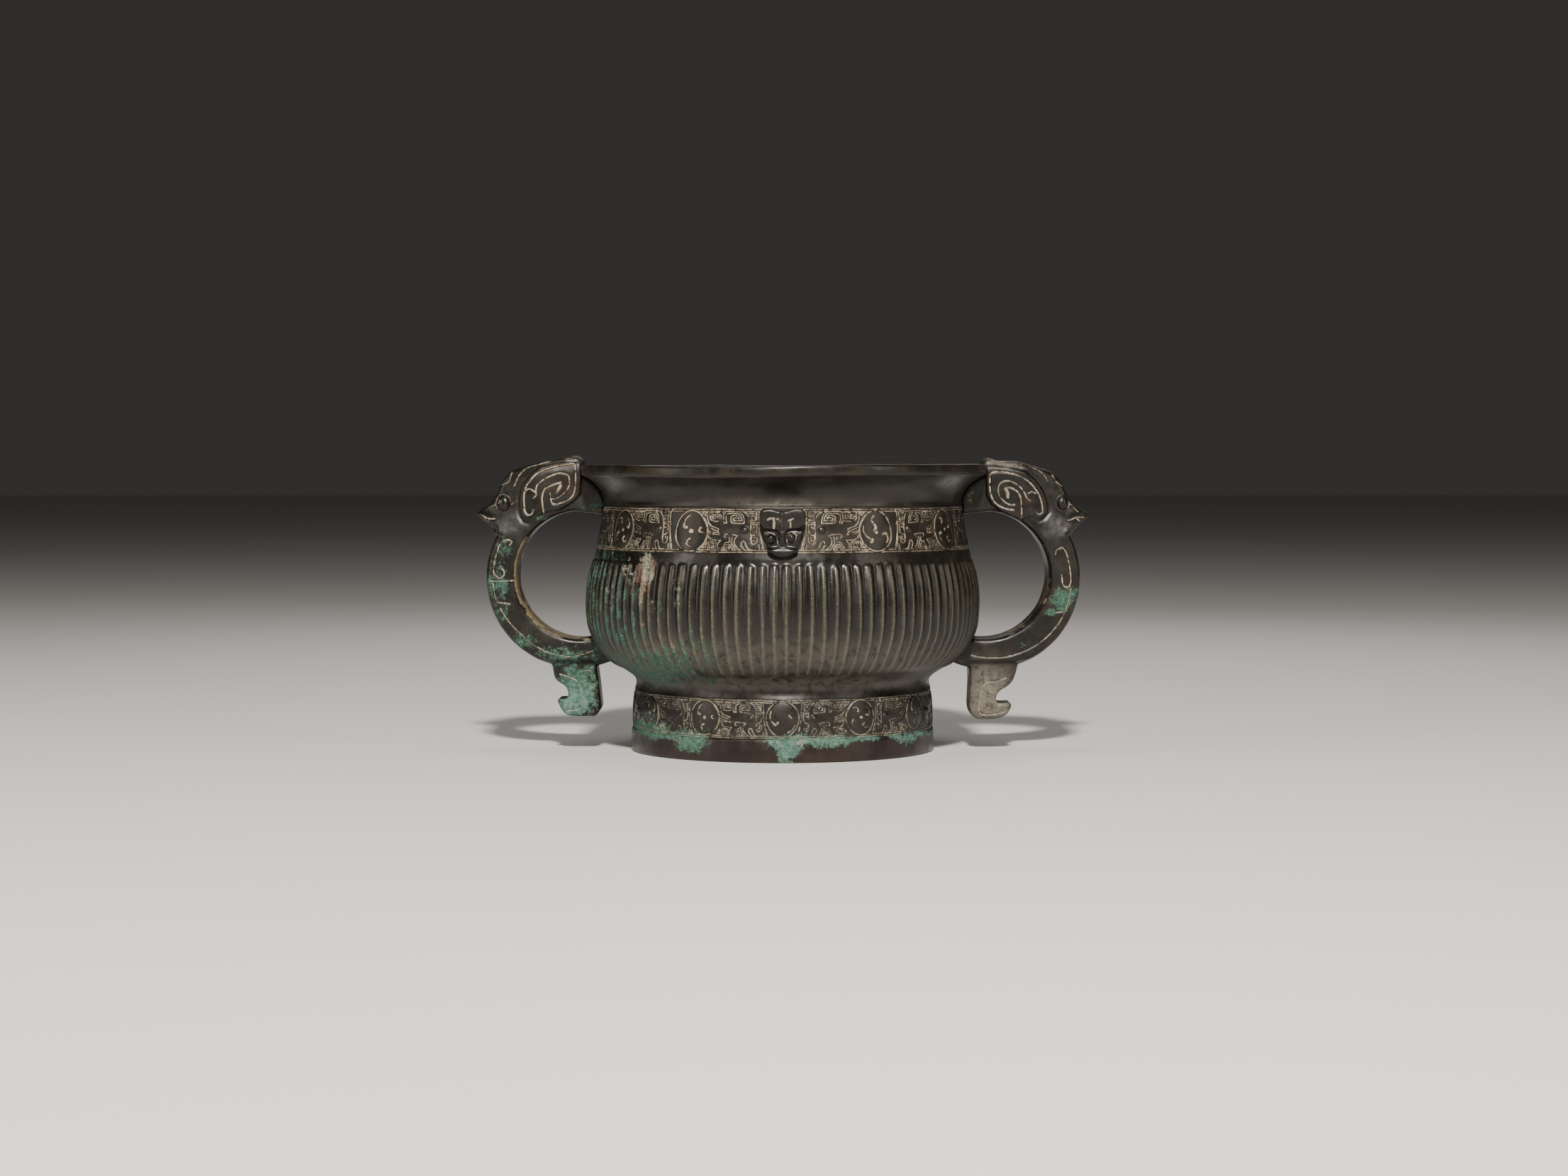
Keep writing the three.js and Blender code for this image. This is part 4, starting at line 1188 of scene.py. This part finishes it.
def bronze(name, dark, mid, light, gloss=0.36, green_bias=0.0, speck=0.5, seed=0.0, streak=None, cream=(0.43, 0.36, 0.26), cream2=(0.25, 0.185, 0.11)):
    mat = bpy.data.materials.new(name)
    g = Nodes(mat)
    t = g.t
    out = t.nodes.new("ShaderNodeOutputMaterial")
    b = t.nodes.new("ShaderNodeBsdfPrincipled")
    g.link(b.outputs[0], out.inputs["Surface"])

    big = g.noise(22, 4, 0.6, seed)
    mids = g.noise(110, 5, 0.6, seed + 1)
    fine = g.noise(900, 4, 0.65, seed + 2)
    grain = g.noise(3200, 2, 0.5, seed + 3)

    col = g.mix(g.step(big, 0.36, 0.66), dark, mid)
    col = g.mix(g.math("MULTIPLY", g.step(mids, 0.48, 0.74), 0.55), col, light)
    # brown tone in drifting clouds
    col = g.mix(g.math("MULTIPLY", g.step(g.noise(48, 4, 0.6, seed + 4), 0.52, 0.74), 0.5), col, (0.040, 0.022, 0.011))
    # small pale and dark specks of the corroded skin
    pale = g.step(g.math("ADD", g.math("MULTIPLY", fine, 0.6), g.math("MULTIPLY", grain, 0.4)), 0.56, 0.70)
    col = g.mix(g.math("MULTIPLY", pale, 0.30 * speck), col, (0.135, 0.128, 0.098))
    pits = g.step(g.noise(1700, 2, 0.5, seed + 5), 0.64, 0.76)
    col = g.mix(g.math("MULTIPLY", pits, 0.35), col, (0.010, 0.009, 0.007))

    # worn crests: broken pale dust along the edges
    wear = g.attr("wear")
    dust = g.step(g.math("ADD", g.math("MULTIPLY", wear, 0.42), g.math("MULTIPLY", g.noise(1500, 6, 0.78, seed + 6), 0.72)), 0.68, 0.88)
    dust = g.math("MULTIPLY", dust, g.step(wear, 0.05, 0.35))
    col = g.mix(g.math("MULTIPLY", dust, 0.80), col, g.mix(g.step(g.noise(420, 3, 0.5, seed + 25), 0.44, 0.60), (0.235, 0.215, 0.140), (0.165, 0.215, 0.150)))

    # painted shade: the hollows between the ribs are darkened, and crests are rubbed lighter
    col = g.mix(g.math("MULTIPLY", g.attr("deep"), 0.62), col, (0.0075, 0.0068, 0.0055))
    rub = g.math("MULTIPLY", wear, g.step(g.noise(260, 6, 0.72, seed + 29), 0.34, 0.62, 0.22, 0.62))
    col = g.mix(rub, col, g.mix(mids, (0.036, 0.032, 0.023), (0.088, 0.080, 0.060)))
    # pale grey from the dust patches, which on the lower belly is painted reflection of the pale floor
    powder_and_floor_reflection = g.math("MULTIPLY", g.attr("dust"), g.step(g.noise(240, 6, 0.7, seed + 22), 0.30, 0.56))
    col = g.mix(g.math("MULTIPLY", powder_and_floor_reflection, 0.9), col, g.mix(g.noise(620, 4, 0.6, seed + 23), (0.105, 0.090, 0.070), (0.225, 0.200, 0.160)))

    # rust-red, tan earth
    rust = g.step(g.math("ADD", g.attr("rust"), g.math("MULTIPLY", g.math("SUBTRACT", g.noise(330, 5, 0.65, seed + 7), 0.5), 1.1)), 0.42, 0.60)
    col = g.mix(g.math("MULTIPLY", rust, 0.70), col, g.mix(g.noise(700, 4, 0.6, seed + 28), (0.075, 0.030, 0.018), (0.190, 0.090, 0.055)))
    tan = g.step(g.math("ADD", g.attr("tan"), g.math("MULTIPLY", g.math("SUBTRACT", g.noise(330, 7, 0.76, seed + 8, streak), 0.5), 1.6)), 0.44, 0.70)
    tan_col = g.mix(g.noise(700, 3, 0.6, seed + 9), (0.125, 0.095, 0.045), (0.30, 0.235, 0.125))
    col = g.mix(g.math("MULTIPLY", tan, 0.75), col, tan_col)

    # green and blue-green copper salts
    gn = g.math("ADD", g.math("MULTIPLY", g.math("SUBTRACT", g.noise(300, 7, 0.76, seed + 10, streak), 0.5), 2.0),
                g.math("MULTIPLY", g.math("SUBTRACT", g.noise(1100, 3, 0.6, seed + 21), 0.5), 0.75))
    green = g.step(g.math("ADD", g.math("ADD", g.attr("green"), green_bias), gn), 0.48, 0.72)
    tone = g.noise(520, 5, 0.65, seed + 11)
    gcol = g.mix(g.step(tone, 0.34, 0.56), (0.012, 0.044, 0.026), (0.034, 0.115, 0.066))
    gcol = g.mix(g.step(tone, 0.55, 0.70), gcol, (0.115, 0.225, 0.145))
    gcol = g.mix(g.math("MULTIPLY", g.step(g.noise(170, 3, 0.5, seed + 12), 0.50, 0.66), 0.6), gcol, (0.042, 0.118, 0.092))
    gcol = g.mix(g.step(g.noise(1500, 3, 0.6, seed + 26), 0.60, 0.40, 0.0, 0.62), gcol, (0.014, 0.036, 0.026))
    gcol = g.mix(g.step(g.noise(1250, 3, 0.6, seed + 27), 0.56, 0.68, 0.0, 0.60), gcol, (0.190, 0.330, 0.230))
    gcol = g.mix(g.math("MULTIPLY", g.attr("pale"), 0.75), gcol, g.mix(g.step(tone, 0.36, 0.66), (0.060, 0.150, 0.115), (0.210, 0.340, 0.280)))
    col = g.mix(g.math("MULTIPLY", green, 0.92), col, gcol)

    # pale crust on top of the green
    crust = g.step(g.math("ADD", g.attr("crust"), g.math("MULTIPLY", g.math("SUBTRACT", g.noise(420, 6, 0.7, seed + 13), 0.5), 1.2)), 0.44, 0.62)
    crust_col = g.mix(g.noise(800, 3, 0.6, seed + 14), (0.15, 0.15, 0.105), (0.36, 0.34, 0.26))
    crust = g.math("MULTIPLY", crust, g.step(g.noise(1150, 4, 0.7, seed + 24), 0.38, 0.56, 0.12, 1.0))
    col = g.mix(g.math("MULTIPLY", crust, 0.85), col, crust_col)

    # cream mineral in the cut lines
    groove = g.attr("groove")
    cream_m = g.math("MULTIPLY", groove, g.step(g.noise(520, 5, 0.68, seed + 15), 0.34, 0.56, 0.22, 1.0))
    cream_m = g.step(cream_m, 0.18, 0.72)
    cream_col = g.mix(g.step(g.noise(150, 4, 0.6, seed + 16), 0.42, 0.62), cream, cream2)
    col = g.mix(g.math("MULTIPLY", cream_m, 0.93), col, cream_col)

    g.link(col, b.inputs["Base Color"])

    mineral = g.math("MAXIMUM", g.math("MAXIMUM", green, tan), g.math("MAXIMUM", crust, g.math("MAXIMUM", cream_m, powder_and_floor_reflection)))
    rough = g.fade(g.step(mids, 0.34, 0.68), gloss - 0.04, gloss + 0.13)
    rough = g.math("ADD", rough, g.math("MULTIPLY", pale, 0.10))
    rough = g.fade(mineral, rough, 0.82)
    g.link(rough, b.inputs["Roughness"])
    g.link(g.fade(mineral, 0.24, 0.0), b.inputs["Metallic"])
    b.inputs["Specular IOR Level"].default_value = 0.5

    h = g.math("ADD", g.math("MULTIPLY", mids, 0.45), g.math("MULTIPLY", fine, 0.30))
    h = g.math("ADD", h, g.math("MULTIPLY", grain, 0.12))
    h = g.math("ADD", h, g.math("MULTIPLY", mineral, g.math("MULTIPLY", g.noise(650, 5, 0.7, seed + 17), 0.9)))
    h = g.math("SUBTRACT", h, g.math("MULTIPLY", pits, 0.12))
    bump = t.nodes.new("ShaderNodeBump")
    bump.inputs["Strength"].default_value = 0.55
    bump.inputs["Distance"].default_value = 0.00017
    g.link(h, bump.inputs["Height"])
    g.link(bump.outputs[0], b.inputs["Normal"])
    return mat, g, b, col


def wall_material():
    """The same skin, with an olive-brown lip and a smooth dark red-brown foot base."""
    mat, g, b, col = bronze("bronze_wall", (0.0120, 0.0100, 0.0080), (0.0240, 0.0205, 0.0160), (0.0420, 0.0362, 0.0290), 0.32, speck=0.35, seed=3.0)
    lip = g.attr("lip")
    clouds = g.step(g.noise(70, 5, 0.6, 5.5), 0.40, 0.62)
    lip_col = g.mix(clouds, (0.006, 0.0048, 0.0032), (0.019, 0.0150, 0.0080))
    lip_col = g.mix(g.math("MULTIPLY", g.step(g.noise(1300, 3, 0.6, 6.5), 0.56, 0.72), 0.35), lip_col, (0.085, 0.078, 0.055))
    col2 = g.mix(g.math("MULTIPLY", lip, 0.92), col, lip_col)
    foot = g.attr("foot_base")
    gn = g.math("ADD", g.math("MULTIPLY", g.math("SUBTRACT", g.noise(300, 7, 0.76, 13.0), 0.5), 2.0),
                g.math("MULTIPLY", g.math("SUBTRACT", g.noise(1100, 3, 0.6, 24.0), 0.5), 0.75))
    green = g.step(g.math("ADD", g.attr("green"), gn), 0.48, 0.72)
    clear = g.math("MULTIPLY", foot, g.math("SUBTRACT", 1.0, green, clamp=True))
    foot_col = g.mix(g.step(g.noise(60, 5, 0.6, 7.5), 0.38, 0.66), (0.013, 0.0075, 0.0058), (0.032, 0.0185, 0.0145))
    col2 = g.mix(g.math("MULTIPLY", clear, 0.85), col2, foot_col)
    g.link(col2, b.inputs["Base Color"])
    return mat


M_WALL = wall_material()
M_NECK = bronze("bronze_neck_relief", (0.0085, 0.0068, 0.0048), (0.0190, 0.0150, 0.0100), (0.0400, 0.0335, 0.0240), 0.33, speck=0.4, seed=11.0)[0]
M_FOOT = bronze("bronze_foot_relief", (0.0086, 0.0067, 0.0054), (0.0158, 0.0127, 0.0096), (0.0300, 0.0254, 0.0196), 0.33, speck=0.4, seed=19.0,
                cream=(0.34, 0.305, 0.225), cream2=(0.18, 0.165, 0.115))[0]
M_RIBS = bronze("bronze_ribs", (0.0070, 0.0058, 0.0042), (0.0130, 0.0109, 0.0080), (0.0290, 0.0250, 0.0188), 0.27, speck=0.7, seed=27.0, streak=(1.0, 1.0, 0.30))[0]
M_MASK = bronze("bronze_mask", (0.0060, 0.0050, 0.0036), (0.0120, 0.0100, 0.0070), (0.0270, 0.0230, 0.0170), 0.31, speck=0.5, seed=35.0,
                cream=(0.42, 0.36, 0.26))[0]
M_HL = bronze("bronze_left_handle", (0.0056, 0.0050, 0.0032), (0.0112, 0.0099, 0.0062), (0.0255, 0.0232, 0.0150), 0.31, speck=0.7, seed=43.0)[0]
M_HR = bronze("bronze_right_handle", (0.0060, 0.0050, 0.0034), (0.0118, 0.0100, 0.0066), (0.0262, 0.0228, 0.0158), 0.31, speck=0.7, seed=51.0)[0]


def place(ob, mat):
    ob.data.materials.clear()
    ob.data.materials.append(mat)
    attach(ob, "root")
    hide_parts(NODE)
    return ob


# ------------------------------------------------------------------ build
place(wall_piece(), M_WALL)

back_r = lambda z: float(r_outer(np.array([z]))[0]) - 1.7
neck_rows = np.linspace(Z_NECK_LO, Z_NECK_HI, 104)
foot_rows = np.linspace(Z_FOOT_LO, Z_FOOT_HI, 74)
neck_front, neck_back = relief_surface("neck"), relief_surface("neck", True)
foot_front, foot_back = relief_surface("foot"), relief_surface("foot", True)

for nm, a, b_, n in (("neck_relief_front_left", -90, 0, 645), ("neck_relief_front_right", 0, 90, 645)):
    place(band_piece(nm, a, b_, n, neck_rows, neck_front, lambda z: back_r(min(max(z, 102.3), 124.6))), M_NECK)
place(band_piece("neck_relief_back", 90, 270, 560, np.linspace(Z_NECK_LO, Z_NECK_HI, 46), neck_back, lambda z: back_r(min(max(z, 102.3), 124.6))), M_NECK)
place(band_piece("foot_relief_front", -90, 90, 720, foot_rows, foot_front, lambda z: back_r(min(max(z, 11.6), 31.2))), M_FOOT)
place(band_piece("foot_relief_back", 90, 270, 460, np.linspace(Z_FOOT_LO, Z_FOOT_HI, 40), foot_back, lambda z: back_r(min(max(z, 11.6), 31.2))), M_FOOT)

rib_rows = np.concatenate([np.arange(31.3, 36.0, 0.8), np.arange(36.1, 47.0, 1.0), np.arange(47.2, 92.6, 1.35),
                           np.arange(93.0, 99.9, 0.5), [100.3, 101.0, 101.7, 102.2]])
place(band_piece("ribbed_belly", 0, 360, 104 * 8, rib_rows, rib_surface, lambda z: float(r_belly(z)) - (2.8 if 42 < z < 101 else 1.8),
                 (33.5, 35.8, 38.0, 41.0, 44.0, 47.0, 52.0, 58.0, 66.0, 76.0, 86.0, 94.0, 99.0)), M_RIBS)

place(handle_piece("left"), M_HL)
place(handle_piece("right"), M_HR)
place(mask_piece("mask_front", False), M_MASK)
place(mask_piece("mask_back", True), M_MASK)

# ------------------------------------------------------------------ stage
def stage_material():
    mat = bpy.data.materials.new("pale_floor")
    g = Nodes(mat)
    out = g.t.nodes.new("ShaderNodeOutputMaterial")
    b = g.t.nodes.new("ShaderNodeBsdfPrincipled")
    g.link(b.outputs[0], out.inputs["Surface"])
    g.link(g.mix(g.noise(1.4, 3, 0.5), (0.70, 0.69, 0.685), (0.76, 0.75, 0.745)), b.inputs["Base Color"])
    b.inputs["Roughness"].default_value = 0.9
    b.inputs["Specular IOR Level"].default_value = 0.1
    return mat


fm = bpy.data.meshes.new("floor")
fm.from_pydata([(-14, -14, 0), (14, -14, 0), (14, 14, 0), (-14, 14, 0)], [], [(0, 1, 2, 3)])
floor = bpy.data.objects.new("floor", fm)
bpy.context.scene.collection.objects.link(floor)
fm.materials.append(stage_material())

world = bpy.data.worlds.new("studio")
bpy.context.scene.world = world
world.use_nodes = True
world.node_tree.nodes["Background"].inputs[0].default_value = (0.90, 0.86, 0.82, 1)
world.node_tree.nodes["Background"].inputs[1].default_value = 0.040


def softbox(name, loc, target, size, power, colour=(1, 1, 1)):
    ld = bpy.data.lights.new(name, "AREA")
    ld.shape = "RECTANGLE"
    ld.size, ld.size_y = size
    ld.energy = power
    ld.color = colour
    ob = bpy.data.objects.new(name, ld)
    ob.location = loc
    d = np.array(target) - np.array(loc)
    ob.rotation_euler = (math.atan2(math.hypot(d[0], d[1]), -d[2]), 0, math.atan2(d[0], -d[1]) + math.pi)
    bpy.context.scene.collection.objects.link(ob)
    return ob


T = (0, 0, 0.08)
softbox("key", (0.02, -1.55, 1.36), T, (0.16, 0.16), 64, (1.0, 0.945, 0.875))
softbox("front", (0.0, -1.95, 0.62), T, (1.2, 0.36), 2.0, (1.0, 0.97, 0.93))
softbox("top", (0.0, 0.20, 1.30), T, (0.4, 0.4), 2.5, (1.0, 0.97, 0.93))
softbox("left", (-1.20, -0.70, 0.45), T, (0.16, 0.8), 3.8, (1.0, 0.945, 0.875))
softbox("right", (1.10, -0.80, 0.45), T, (0.14, 0.7), 2.8, (1.0, 0.945, 0.875))
softbox("back", (0.2, 1.0, 0.80), T, (0.9, 0.4), 2, (1.0, 0.97, 0.94))
